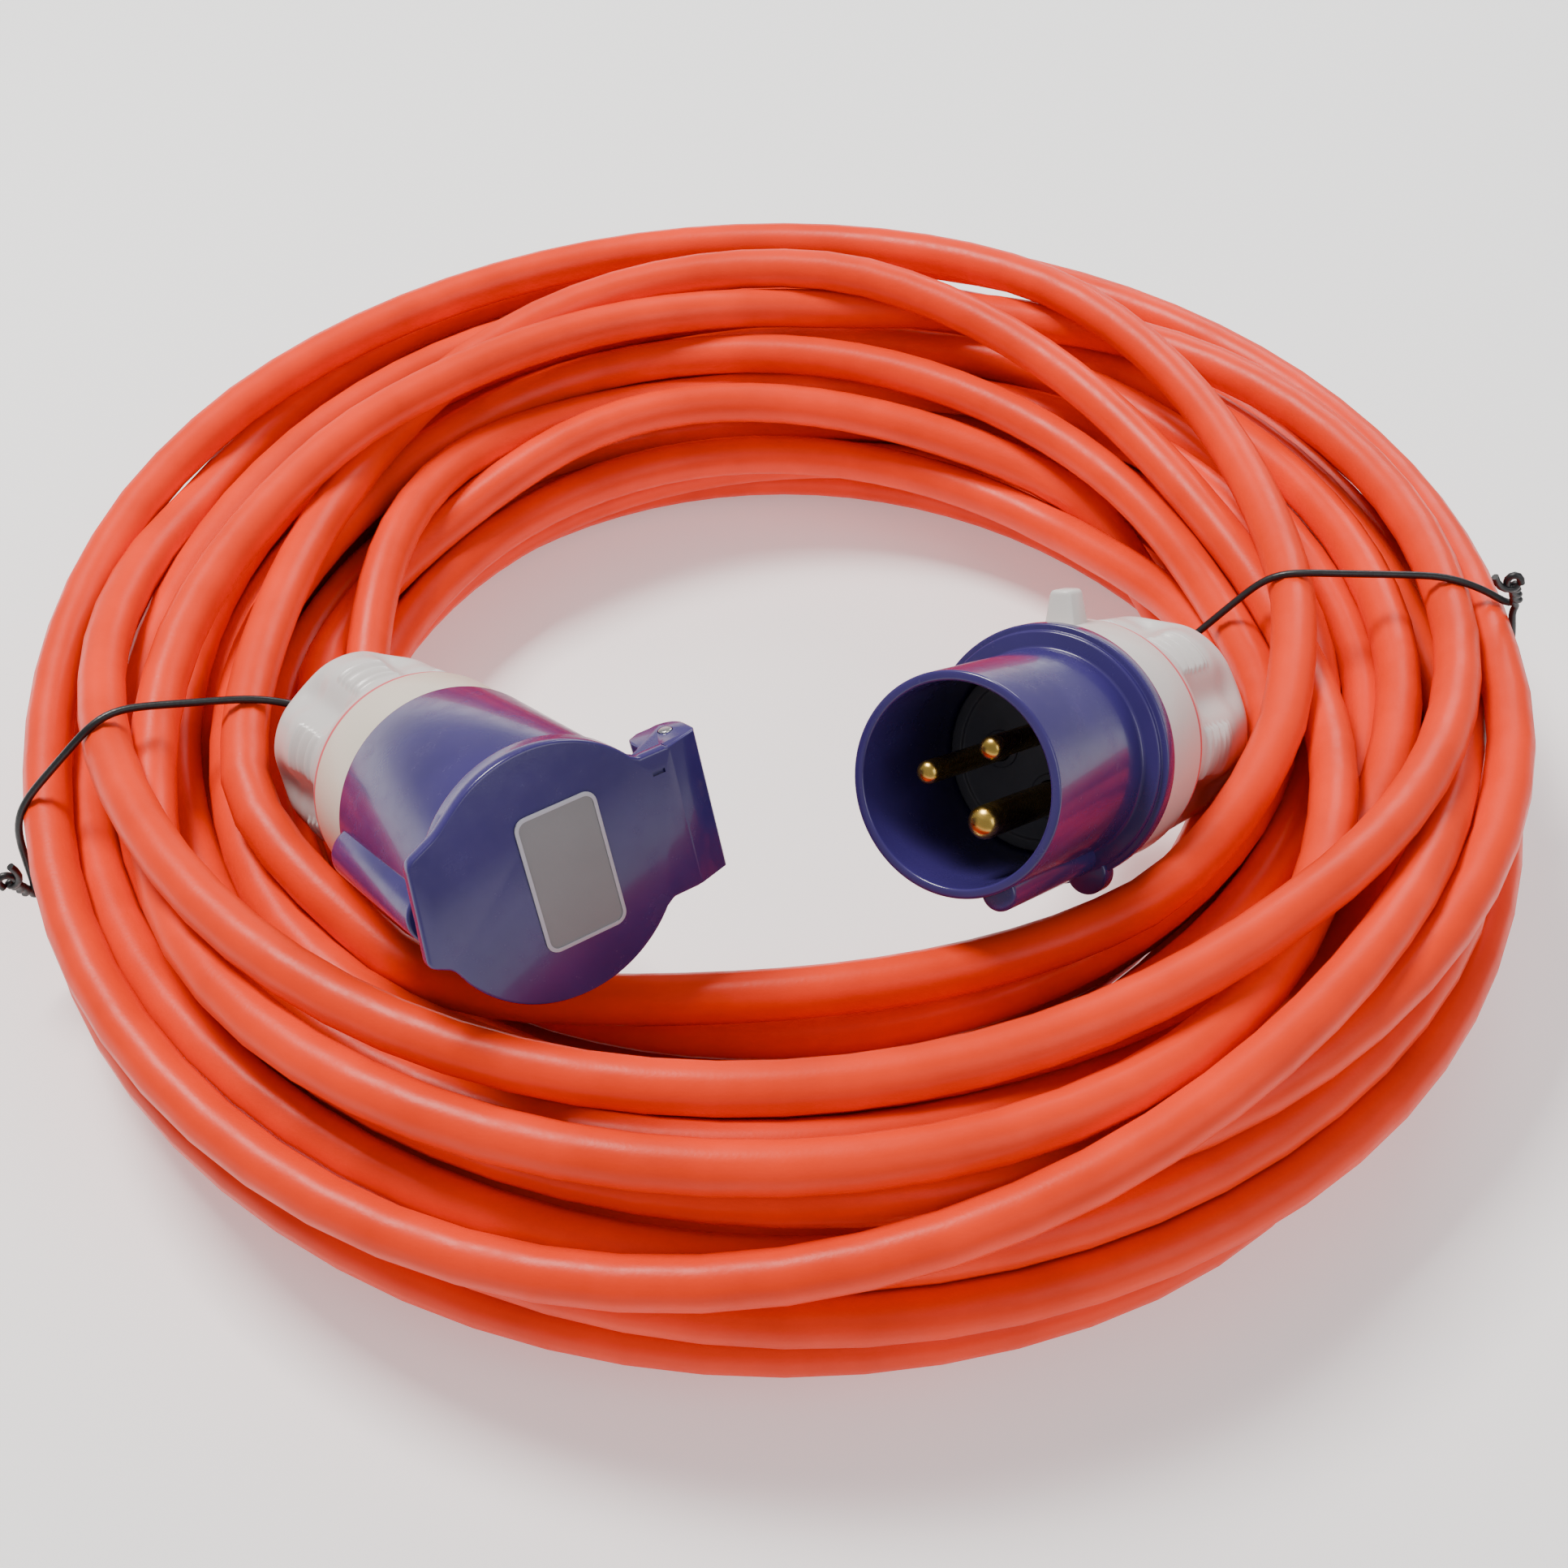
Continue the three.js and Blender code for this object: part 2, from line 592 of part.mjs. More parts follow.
  const group = [
    part('socket_housing', housing, blueShell),
    part('socket_contact_insert', insert, darkInsert),
    ...sleeves,
    ...screws,
    part('socket_lid', lid, blueShell),
    part('socket_lid_seal', lidSeal, greyRubber),
    part('socket_lid_plate', labelSpot, labelGrey),
    part('socket_hinge_pin', hingePin, steel),
    part('socket_lid_spring', spring, steel),
    part('socket_collar', cut(rear.collar, ...reliefs), whiteShell),
    ...rear.pieces,
    ...cores('socket', terminalFront, rear.jacketStart),
    cableLead('cable_to_socket', rear.jacketStart, rear.nutBack),
  ];
  const nest = [
    [0, SOCKET_LENGTH + 36],
    [keyReach + 1.5, SOCKET_LENGTH + 36],
    [keyReach + 1.5, grooveFloor],
    [lidRadius + 1, rear.collarBack],
    [lidRadius - 0.6, rear.nutFront - SOCKET_NUT_LENGTH * 0.75],
    [lidRadius - 8.5, rear.nutBack - 2],
  ];
  return { group, nest, nutBack: rear.nutBack };
}

// ---- cable coil and ties ------------------------------------------------------------
// The hollow that a plug or socket lies in: its own envelope, then the lead's channel.
function nestOutline({ nest, nutBack }) {
  const [lastRadius, lastZ] = nest[nest.length - 1];
  const channel = CABLE_RADIUS + GAP;
  const channelEnd = nutBack - LEAD_LENGTH - GAP;
  return [...nest, [Math.min(lastRadius, channel + 4), lastZ - 3], [channel, lastZ - 6], [channel, channelEnd], [0, channelEnd]];
}

function nestRadiusAt(outline, z) {
  for (let i = 1; i < outline.length; i += 1) {
    const [r0, z0] = outline[i - 1];
    const [r1, z1] = outline[i];
    if (z <= z0 && z > z1) return r0 + ((r1 - r0) * (z0 - z)) / (z0 - z1);
  }
  return 0;
}

function insideBundle(radius, height) {
  const across = (radius - COIL_RADIUS) / COIL_HALF_WIDTH;
  const up = (height - COIL_CENTRE_HEIGHT) / COIL_HALF_HEIGHT;
  return height > 0 && across * across + up * up < 1;
}

// A tie is a closed loop of wire round the bundle's section at one azimuth. It follows the
// surface, including the hollows, and bites a little way into it.
function tieLoop(azimuth, tailStation, nests) {
  const turn = THREE.MathUtils.degToRad(azimuth);
  const radial = new THREE.Vector3(Math.cos(turn), Math.sin(turn), 0);
  const depth = TIE_BITE + TIE_WIRE_RADIUS;
  const stations = 28;
  const probes = 3; // for each station, which takes the nearest wall of the five around it
  const found = [];
  for (let i = 0; i < stations * probes; i += 1) {
    const angle = (2 * Math.PI * i) / (stations * probes);
    let reach = 5;
    for (; reach < 80; reach += 0.25) {
      const radius = COIL_RADIUS + reach * Math.cos(angle);
      const height = COIL_CENTRE_HEIGHT + reach * Math.sin(angle);
      const point = radial.clone().multiplyScalar(radius).setZ(height);
      const blocked = nests.some(({ outline, inverse }) => {
        const local = point.clone().applyMatrix4(inverse);
        return Math.hypot(local.x, local.y) < nestRadiusAt(outline, local.z) + 1;
      });
      if (blocked || !insideBundle(radius, height)) break;
    }
    found.push(reach - depth);
  }
  const reaches = [];
  for (let i = 0; i < found.length; i += probes) {
    reaches.push(Math.min(...[-2, -1, 0, 1, 2].map((offset) => found.at((i + offset) % found.length))));
  }
  const smooth = reaches.map((reach, i) => {
    const before = reaches[(i + stations - 1) % stations];
    const after = reaches[(i + 1) % stations];
    return Math.min(reach, (before + 2 * reach + after) / 4);
  });
  const place = (reach, angle) => {
    const height = COIL_CENTRE_HEIGHT + reach * Math.sin(angle);
    const point = radial.clone().multiplyScalar(COIL_RADIUS + reach * Math.cos(angle));
    return point.setZ(Math.max(height, depth));
  };
  const points = smooth.map((reach, i) => place(reach, (2 * Math.PI * i) / stations));
  return { points, radial, tailStation };
}

// A tube that closes on itself: a torus whose rings are moved onto the loop's points.
function loopTube({ points, radial }, radius, sides = 6) {
  const count = points.length;
  const torus = new THREE.TorusGeometry(2, 1, sides, count);
  const place = torus.attributes.position;
  const along = new THREE.Vector3(-radial.y, radial.x, 0);
  for (let j = 0; j <= sides; j += 1) {
    for (let i = 0; i <= count; i += 1) {
      const point = points[i % count];
      const ahead = points[(i + 1) % count].clone().sub(points[(i + count - 1) % count]);
      const outward = ahead.cross(along).normalize();
      const angle = (2 * Math.PI * (j % sides)) / sides;
      const vertex = point.clone()
        .addScaledVector(outward, radius * Math.cos(angle))
        .addScaledVector(along, radius * Math.sin(angle));
      place.setXYZ(j * (count + 1) + i, vertex.x, vertex.y, vertex.z);
    }
  }
  return torus;
}

// The tie's twisted tail hangs down the outside of the bundle from the given station.
function tieTail({ points, radial, tailStation }, radius, lead = 0) {
  const start = points[tailStation];
  const outside = TAIL_RADIUS + GAP + 0.5;
  const surface = (height) => {
    const up = (height - COIL_CENTRE_HEIGHT) / COIL_HALF_HEIGHT;
    return COIL_RADIUS + COIL_HALF_WIDTH * Math.sqrt(Math.max(0, 1 - up * up));
  };
  const route = [start.clone().addScaledVector(radial, -lead)];
  for (let i = 1; i <= 3; i += 1) {
    const height = start.z - (TIE_TAIL_LENGTH * i) / 3;
    route.push(radial.clone().multiplyScalar(surface(height) + outside).setZ(height));
  }
  return tube(route, radius, 4, 8);
}

function makeCoil(nests, loops) {
  const outline = [];
  const steps = 16;
  const flatAngle = Math.asin(-COIL_CENTRE_HEIGHT / COIL_HALF_HEIGHT);
  const sweep = 2 * Math.PI - 2 * (Math.PI / 2 + flatAngle);
  for (let i = 0; i <= steps; i += 1) {
    const angle = flatAngle + (sweep * i) / steps;
    const z = COIL_CENTRE_HEIGHT + COIL_HALF_HEIGHT * Math.sin(angle);
    outline.push([COIL_RADIUS + COIL_HALF_WIDTH * Math.cos(angle), Math.max(z, 0)]);
  }
  outline[0][1] = 0;
  outline[steps][1] = 0;
  outline.push([...outline[0]]);
  const hollows = nests.map(({ outline: nest, matrix }) => turned(nest, 16).applyMatrix4(matrix));
  const grooves = loops.flatMap((loop) => [
    loopTube(loop, TIE_WIRE_RADIUS + GAP),
    tieTail(loop, TAIL_RADIUS + GAP, GAP),
  ]);
  return cut(turned(outline, 40), ...hollows, ...grooves);
}

// ---- assembly -----------------------------------------------------------------------
const plug = makePlug();
const socket = makeSocket();
const plugMatrix = poseMatrix(PLUG_GLAND, PLUG_TURN, plug.nutBack);
const socketMatrix = poseMatrix(SOCKET_GLAND, SOCKET_TURN, socket.nutBack);
const nests = [[plug, plugMatrix], [socket, socketMatrix]].map(([end, matrix]) => ({
  outline: nestOutline(end),
  matrix,
  inverse: matrix.clone().invert(),
}));
const rightTie = tieLoop(TIE_RIGHT_AZIMUTH, 3, nests);
const leftTie = tieLoop(TIE_LEFT_AZIMUTH, 1, nests);

function tieWire(name, loop) {
  return part(name, join(loopTube(loop, TIE_WIRE_RADIUS), tieTail(loop, TAIL_RADIUS)), blackWire);
}

const lead = new THREE.Group();
lead.add(posedGroup(plugMatrix, plug.group));
lead.add(posedGroup(socketMatrix, socket.group));
lead.add(part('cable_coil', makeCoil(nests, [rightTie, leftTie]), orangeSheath));
lead.add(tieWire('tie_right', rightTie));
lead.add(tieWire('tie_left', leftTie));

export default lead;
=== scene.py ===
import math
import bmesh
import bpy
import numpy as np
from mathutils import Matrix, Vector


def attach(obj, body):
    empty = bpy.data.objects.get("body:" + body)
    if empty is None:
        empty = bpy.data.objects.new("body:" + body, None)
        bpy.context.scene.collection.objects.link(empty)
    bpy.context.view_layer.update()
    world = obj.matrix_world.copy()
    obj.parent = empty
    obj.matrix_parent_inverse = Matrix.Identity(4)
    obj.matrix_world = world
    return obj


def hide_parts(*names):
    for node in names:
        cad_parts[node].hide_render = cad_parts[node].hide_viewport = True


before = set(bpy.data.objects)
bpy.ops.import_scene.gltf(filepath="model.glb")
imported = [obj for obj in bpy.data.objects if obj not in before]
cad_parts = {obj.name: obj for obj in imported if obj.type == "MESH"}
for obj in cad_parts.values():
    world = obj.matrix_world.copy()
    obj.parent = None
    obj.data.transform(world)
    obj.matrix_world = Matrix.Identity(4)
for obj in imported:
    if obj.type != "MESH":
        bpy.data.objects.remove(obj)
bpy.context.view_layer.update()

# ---------------------------------------------------------------- table, light and camera
# The lead lies on a pale table under soft studio lamps. The camera looks down from the
# front at about 46 degrees. Sizes are in metres here.
TABLE_SIZE = 40.0
TABLE_GLOW = 0.33
SKY = (0.93, 0.94, 0.96, 1.0)
SKY_STRENGTH = 0.42
CAMERA_PLACE = (0, -0.3802, 0.3892)
CAMERA_TILT = 44.3          # degrees up from straight down
CAMERA_LENS = 46.86
SENSOR_WIDTH = 36

top = bpy.data.meshes.new("table_top")
half = TABLE_SIZE / 2
top.from_pydata([(-half, -half, 0), (half, -half, 0), (half, half, 0), (-half, half, 0)], [],
                [(0, 1, 2, 3)])
table = bpy.data.objects.new("table_top", top)
bpy.context.collection.objects.link(table)
table_paint = bpy.data.materials.new("table_paint")
table_paint.use_nodes = True
table_shader = table_paint.node_tree.nodes["Principled BSDF"]
table_shader.inputs["Base Color"].default_value = (0.9, 0.9, 0.9, 1)
table_shader.inputs["Roughness"].default_value = 0.6
table_shader.inputs["Emission Color"].default_value = (1, 1, 1, 1)
table_shader.inputs["Emission Strength"].default_value = TABLE_GLOW
top.materials.append(table_paint)

world = bpy.data.worlds.new("studio")
bpy.context.scene.world = world
world.use_nodes = True
world.node_tree.nodes["Background"].inputs["Color"].default_value = SKY
world.node_tree.nodes["Background"].inputs["Strength"].default_value = SKY_STRENGTH


def lamp(name, place, power, size, colour=(1, 1, 1)):
    """A square soft lamp that points at the middle of the coil."""
    light = bpy.data.lights.new(name, "AREA")
    light.energy = power
    light.size = size
    light.color = colour
    holder = bpy.data.objects.new(name, light)
    holder.location = place
    holder.rotation_euler = (-Vector(place)).to_track_quat("-Z", "Y").to_euler()
    bpy.context.collection.objects.link(holder)


lamp("key_lamp", (-0.5, 0.35, 1.3), 27, 0.45, (1, 0.97, 0.93))
lamp("fill_lamp", (0.9, -0.8, 0.9), 6, 0.9)
lamp("rim_lamp", (0.5, 1.1, 0.8), 7, 0.6)

camera_data = bpy.data.cameras.new("camera")
camera_data.lens = CAMERA_LENS
camera_data.sensor_width = SENSOR_WIDTH
camera = bpy.data.objects.new("camera", camera_data)
camera.location = CAMERA_PLACE
camera.rotation_euler = (math.radians(CAMERA_TILT), 0, 0)
bpy.context.collection.objects.link(camera)
bpy.context.scene.camera = camera

# ---------------------------------------------------------------- plug and socket axes
# Each end is a turned assembly on one straight axis, and lies inside the coil. All pieces of
# an end are made along its own Z and set on it. From here on sizes are in millimetres.
MM = 0.001
COIL_RADIUS = 143.5         # to the middle of the bundle
PLUG_GLAND_Z = -67.9        # where the cable enters an end, on the end's own axis
SOCKET_GLAND_Z = -63.9


def end_axes(inset, azimuth, height, heading, tilt, roll, gland_z):
    """An end's own axes. Its gland stands at an azimuth, in from the bundle, at a height."""
    h, t, r = (math.radians(a) for a in (heading, tilt, roll))
    forward = Vector((math.cos(t) * math.cos(h), math.cos(t) * math.sin(h), math.sin(t)))
    upright = (Vector((0, 0, 1)) - forward * forward.z).normalized()
    side = upright.cross(forward)
    x = side * math.cos(r) + upright * math.sin(r)
    y = upright * math.cos(r) - side * math.sin(r)
    a = math.radians(azimuth)
    gland = Vector((math.cos(a), math.sin(a), 0)) * (COIL_RADIUS - inset) + Vector((0, 0, height))
    origin = gland - forward * gland_z
    return Matrix((
        (x.x, y.x, forward.x, origin.x),
        (x.y, y.y, forward.y, origin.y),
        (x.z, y.z, forward.z, origin.z),
        (0, 0, 0, 1),
    ))


plug_axes = end_axes(inset=49.12, azimuth=-10.61, height=41.69, heading=232.2, tilt=28.8, roll=44.3,
                     gland_z=PLUG_GLAND_Z)
socket_axes = end_axes(inset=36.3, azimuth=199.48, height=52.52, heading=304.8, tilt=23.4, roll=-91.8,
                       gland_z=SOCKET_GLAND_Z)

# ---------------------------------------------------------------- cable
# 25 m of three-core cable, 11 mm over its orange sheath, wound by hand into a loose round
# coil. It leaves the plug's gland, goes round 27 and a half times and ends in the socket's.
CABLE_RADIUS = 5.5
COIL_HALF_WIDTH = 45
COIL_HALF_HEIGHT = 39
COIL_CENTRE_HEIGHT = 37.5
SPREAD = COIL_HALF_WIDTH - CABLE_RADIUS     # how far a turn's own middle may lie outwards
RISE = COIL_HALF_HEIGHT - CABLE_RADIUS      # and upwards, from the bundle's middle
SLICES = 72                 # the coil is worked out in this many slices round it
TURNS = 28
NODES = 1986                # the cable's points, one in each slice that it passes
FIRST_SLICE = -10           # degrees round the coil, where the cable has left the plug

step = 360 / SLICES
along = FIRST_SLICE + step * np.arange(TURNS * SLICES)
round_angle = np.radians(along)
outward = np.stack([np.cos(round_angle), np.sin(round_angle)], axis=1)
laid = np.arange(TURNS * SLICES) < NODES
draw = np.random.default_rng(11)

# A turn's own place in the bundle's section: across (outwards) and up, each from -1 to 1.
# Rows are laid from the floor upwards, each in the other direction. A row is its height, its
# half width and its number of turns. A turn wanders a little from its place twice a round.
WANDER = 0.14
WANDER_PLACES = (95, 275)   # degrees
WANDER_SHIFT = 60
LOOSE_HOLD = 0.004          # how firmly a turn is drawn to its place in each round
FIRM_HOLD = 0.06
rows = [
    (-0.86, 0.30, 2), (-0.58, 0.72, 4), (-0.25, 0.86, 5),
    (0.08, 0.90, 5), (0.38, 0.80, 4), (0.62, 0.4, 2),
]
marks = []
for number, (up, width, count) in enumerate(rows):
    for across in np.linspace(-width, width, count) * (1 if number % 2 else -1):
        start = 360 * (len(marks) // 2)
        for side in WANDER_PLACES:
            wander = draw.uniform(-WANDER, WANDER, 2)
            place = start + side + draw.uniform(-WANDER_SHIFT, WANDER_SHIFT)
            marks.append((place, across + wander[0], up + wander[1], LOOSE_HOLD))

# The turns laid last lie on top, where they wander over the others. Each list is a turn:
# where it lies on the bundle (0 degrees is outermost, 90 on top) at points round the coil.
top_turns = [
    [(0, 30), (45, 40), (90, 30), (135, 20), (180, 60), (206, 58), (228, 70), (254, 80), (284, 86),
     (318, 89)],
    [(0, 40), (50, 70), (92, 114), (126, 114), (159, 122), (190, 75), (215, 45), (243, 55), (270, 60),
     (300, 58)],
    [(13, 152), (44, 130), (77, 99), (105, 85), (139, 110), (175, 134), (205, 120), (259, 140),
     (285, 144), (329, 130)],
    [(4, 132), (34, 108), (55, 80), (75, 60), (95, 54), (133, 50), (158, 43), (181, 28), (216, 20),
     (240, 2), (259, 9), (278, 29), (299, 54), (321, 66), (349, 54)],
    [(2, 26), (40, 4), (90, -8), (135, -15), (180, -5), (225, -25), (270, -32), (310, -25)],
    [(0, -100), (30, -165), (59, -186), (98, -203), (136, -212), (158, -195)],
]
for number, turn in enumerate(top_turns, start=len(marks) // 2):
    for place, round_section in turn:
        a = math.radians(round_section)
        marks.append((360 * number + place, math.cos(a), math.sin(a), FIRM_HOLD))

place, across, up, hold = np.array(marks).T
EASE = 4                    # slices on each side over which a change of place is spread
kernel = np.hanning(2 * EASE + 1)
kernel /= kernel.sum()


def eased(values):
    """The marks' values at every slice, with the corners taken off."""
    spread = np.interp(along, place, values)
    return np.convolve(np.pad(spread, EASE, mode="edge"), kernel, mode="valid")


goal = np.stack([COIL_RADIUS + SPREAD * eased(across), COIL_CENTRE_HEIGHT + RISE * eased(up)], axis=1)
FREE_END = 12               # points at each end that are drawn to no place
hold = np.interp(along, place, hold)[:, None]
hold[:FREE_END] = 0
hold[NODES - FREE_END:] = 0


def straight_run(axes, gland_z, slices):
    """Where the straight cable behind a gland meets the given slices."""
    gland = np.array(axes @ Vector((0, 0, gland_z)))
    back = -np.array(axes.col[2][:3])
    points = []
    for i in slices:
        c, s = outward[i]
        reach = (gland[1] * c - gland[0] * s) / (back[0] * s - back[1] * c)
        point = gland + back * reach
        points.append((math.hypot(point[0], point[1]), point[2]))
    return np.array(points)


pinned = [0, 1, 2, NODES - 2, NODES - 1]
pins = np.vstack([
    straight_run(plug_axes, PLUG_GLAND_Z, pinned[:3]),
    straight_run(socket_axes, SOCKET_GLAND_Z, pinned[3:]),
])

# What the cable has to clear at each end: places along its axis, and the radius at each.
plug_reach = ([-70, -57, -22, -5, 1, 44], [19, 27.5, 29.5, 34, 33, 29])
socket_reach = ([-66, -53, -20, -1, 80], [17, 25.5, 27, 32, 32])
MOST_PUSH = 2.5             # the farthest that the cable is moved at a time

# The two wire ties draw the bundle in where they go round it.
TIE_SQUEEZE = 0.05          # a share of the bundle's size
TIE_SPAN = 12               # degrees
squeeze = np.zeros(TURNS * SLICES)
for tie in (4, 195):
    gap = (np.degrees(round_angle) - tie + 180) % 360 - 180
    squeeze += TIE_SQUEEZE * np.exp(-(gap / TIE_SPAN) ** 2)


def keep_off(spot, axes, reach):
    """Moves the cable out of an end's space. What would lie over the end moves outwards."""
    origin = np.array(axes.col[3][:3])
    axis = np.array(axes.col[2][:3])
    point = np.column_stack([outward * spot[:, :1], spot[:, 1]])
    offset = point - origin
    station = offset @ axis
    off_axis = offset - station[:, None] * axis
    over = off_axis[:, 2] > 0
    off_axis[over, 2] = 0
    distance = np.linalg.norm(off_axis, axis=1)
    need = np.interp(station, *reach) + CABLE_RADIUS
    inside = (station > reach[0][0]) & (station < reach[0][-1]) & (distance < need)
    push = np.column_stack([(off_axis[:, :2] * outward).sum(axis=1), off_axis[:, 2]])
    push[over] = (1, 0)
    push /= np.linalg.norm(push, axis=1, keepdims=True) + 1e-9
    spot[inside] += push[inside] * np.minimum(need - distance, MOST_PUSH)[inside, None]


def straighten(run, share):
    """Draws each point of a run towards the middle of its neighbours."""
    run[1:-1] += share * (run[2:] - 2 * run[1:-1] + run[:-2])


def stiffen(run, share):
    """Spreads a bend of the run over more of its length."""
    run[2:-2] -= share * (run[4:] - 4 * run[3:-1] + 6 * run[2:-2] - 4 * run[1:-3] + run[:-4])


# The turns settle in rounds. They start thin, swell to their full thickness while they push
# each other aside, and in the late rounds they are mostly straightened.
ROUNDS = 900
LATE = 0.8                  # the share of the rounds that come before the late ones
START_THICKNESS = 0.25      # the turns' thickness at first, as a share of the full one
GROWN = 0.6                 # the share of the rounds that growth from nothing would take
CLEARANCE = 1.02            # turns keep this many times their thickness apart
SINK = 0.02                 # how far the turns sink in each round
END_RUN = 16                # points at each end that are smoothed more than the rest
every_turn = np.arange(TURNS)
used = laid.reshape(TURNS, SLICES)
spot = goal.copy()
for number in range(ROUNDS):
    thickness = min(1, START_THICKNESS + number / (GROWN * ROUNDS))
    late = number > LATE * ROUNDS
    apart = 2 * CABLE_RADIUS * thickness * CLEARANCE
    spot += (goal - spot) * hold * (0.2 if late else 1)
    spot[:, 1] -= SINK
    straighten(spot[:NODES], 0.1 if late else 0.3)
    for repeat in range(5 if late else 1):
        stiffen(spot[:NODES], 0.06)
    for repeat in range(3 if late else 1):
        grid = spot.reshape(TURNS, SLICES, 2)
        between = grid[:, None] - grid[None]
        distance = np.sqrt((between ** 2).sum(axis=3)) + 1e-6
        overlap = np.clip(apart - distance, 0, None)
        overlap *= used[:, None] & used[None]
        overlap[every_turn, every_turn] = 0
        grid += 0.42 * (between * (overlap / distance)[..., None]).sum(axis=1)
        across = (spot[:, 0] - COIL_RADIUS) / SPREAD
        up = (spot[:, 1] - COIL_CENTRE_HEIGHT) / RISE
        out = np.maximum(1, np.hypot(across, up) / (1 - squeeze))
        spot[:, 0] = COIL_RADIUS + SPREAD * across / out
        spot[:, 1] = COIL_CENTRE_HEIGHT + RISE * up / out
        keep_off(spot, plug_axes, plug_reach)
        keep_off(spot, socket_axes, socket_reach)
        spot[:, 1] = np.maximum(spot[:, 1], CABLE_RADIUS)
        spot[pinned] = pins
    for lead in (spot[:END_RUN], spot[NODES - END_RUN:NODES]):
        for repeat in range(12):
            stiffen(lead, 0.05)
    spot[pinned] = pins

GLAND_DEPTH = 2             # how far the cable reaches into a gland
points = np.column_stack([outward * spot[:, :1], spot[:, 1]])[:NODES]
plug_end = np.array(plug_axes @ Vector((0, 0, PLUG_GLAND_Z + GLAND_DEPTH)))
socket_end = np.array(socket_axes @ Vector((0, 0, SOCKET_GLAND_Z + GLAND_DEPTH)))
points = np.vstack([plug_end, points, socket_end]) * MM


def noise(material, where, scale, detail, roughness=0.5):
    """An uneven pattern over the whole piece."""
    pattern = material.node_tree.nodes.new("ShaderNodeTexNoise")
    pattern.inputs["Scale"].default_value = scale
    pattern.inputs["Detail"].default_value = detail
    pattern.inputs["Roughness"].default_value = roughness
    material.node_tree.links.new(where, pattern.inputs["Vector"])
    return pattern.outputs["Fac"]


def two_tones(material, pattern, ends, dark, light):
    """Colours the surface from dark to light between the two ends of a pattern."""
    tone = material.node_tree.nodes.new("ShaderNodeValToRGB")
    for stop, position, colour in zip(tone.color_ramp.elements, ends, (dark, light)):
        stop.position = position
        stop.color = (*colour, 1)
    shader = material.node_tree.nodes["Principled BSDF"]
    material.node_tree.links.new(pattern, tone.inputs["Fac"])
    material.node_tree.links.new(tone.outputs["Color"], shader.inputs["Base Color"])


def relief(material, pattern, strength, depth):
    """A fine relief on the surface; the depth is in metres."""
    bump = material.node_tree.nodes.new("ShaderNodeBump")
    bump.inputs["Strength"].default_value = strength
    bump.inputs["Distance"].default_value = depth
    shader = material.node_tree.nodes["Principled BSDF"]
    material.node_tree.links.new(pattern, bump.inputs["Height"])
    material.node_tree.links.new(bump.outputs["Normal"], shader.inputs["Normal"])


def plastic(name, colour, roughness, coat=0.0, mottle=0.06, grain=0.05, grain_size=1800, scuffs=0.15,
            shine=0.5):
    """Moulded plastic: slightly uneven colour, fine grain, and scuffs that dull the gloss."""
    material = bpy.data.materials.new(name)
    material.use_nodes = True
    nodes = material.node_tree.nodes
    link = material.node_tree.links.new
    shader = nodes["Principled BSDF"]
    shader.inputs["Specular IOR Level"].default_value = shine
    shader.inputs["Coat Weight"].default_value = coat
    shader.inputs["Coat Roughness"].default_value = 0.08
    where = nodes.new("ShaderNodeTexCoord").outputs["Object"]
    cloud = noise(material, where, scale=45, detail=5)
    dark = [c * (1 - mottle) for c in colour]
    light = [min(1, c * (1 + mottle) + 0.002) for c in colour]
    two_tones(material, cloud, (0.3, 0.7), dark, light)
    rub = noise(material, where, scale=130, detail=8, roughness=0.7)
    dull = nodes.new("ShaderNodeMapRange")
    dull.inputs["From Min"].default_value = 0.45
    dull.inputs["From Max"].default_value = 0.75
    dull.inputs["To Min"].default_value = roughness
    dull.inputs["To Max"].default_value = min(1, roughness + scuffs)
    link(rub, dull.inputs["Value"])
    link(dull.outputs["Result"], shader.inputs["Roughness"])
    relief(material, noise(material, where, grain_size, detail=3), grain, 0.0003)
    return material


def wire(name, path, radius, material, smoothness=3):
    """A round wire or cable along a path; the path is in metres, the radius is not."""
    run = bpy.data.curves.new(name, "CURVE")
    run.dimensions = "3D"
    line = run.splines.new("POLY")
    line.points.add(len(path) - 1)
    for target, point in zip(line.points, path):
        target.co = (*point, 1)
    run.bevel_depth = radius * MM
    run.bevel_resolution = smoothness
    run.use_fill_caps = True
    run.materials.append(material)
    piece = bpy.data.objects.new(name, run)
    bpy.context.collection.objects.link(piece)
    return piece


sheath = plastic("orange_sheath", (0.84, 0.034, 0.0), 0.36, mottle=0.1, grain=0.12, grain_size=1100,
                 shine=0.22)
cable = wire("orange_cable", points, CABLE_RADIUS, sheath, smoothness=4)
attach(cable, "lead")
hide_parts("cable_coil", "cable_to_plug", "cable_to_socket")

# ---------------------------------------------------------------- plug shroud
# The blue nylon shroud of the plug, with its flange, half-round key and the lump behind the
# key. It is one moulding; its spigot is screwed into the white collar.


def softened(outline, count=4):
    """A closed outline with its corners rounded. A point is (radius, z, rounding)."""
    shape = []
    for number, corner in enumerate(outline):
        here = Vector(corner[:2])
        rounding = corner[2] if len(corner) > 2 else 0
        before = Vector(outline[number - 1][:2]) - here
        after = Vector(outline[(number + 1) % len(outline)][:2]) - here
        if rounding == 0:
            shape.append(tuple(here))
            continue
        cut_off = min(rounding, before.length * 0.49, after.length * 0.49)
        start = here + before.normalized() * cut_off
        end = here + after.normalized() * cut_off
        for i in range(count + 1):
            t = i / count
            shape.append(tuple(start * (1 - t) ** 2 + here * 2 * t * (1 - t) + end * t * t))
    return shape


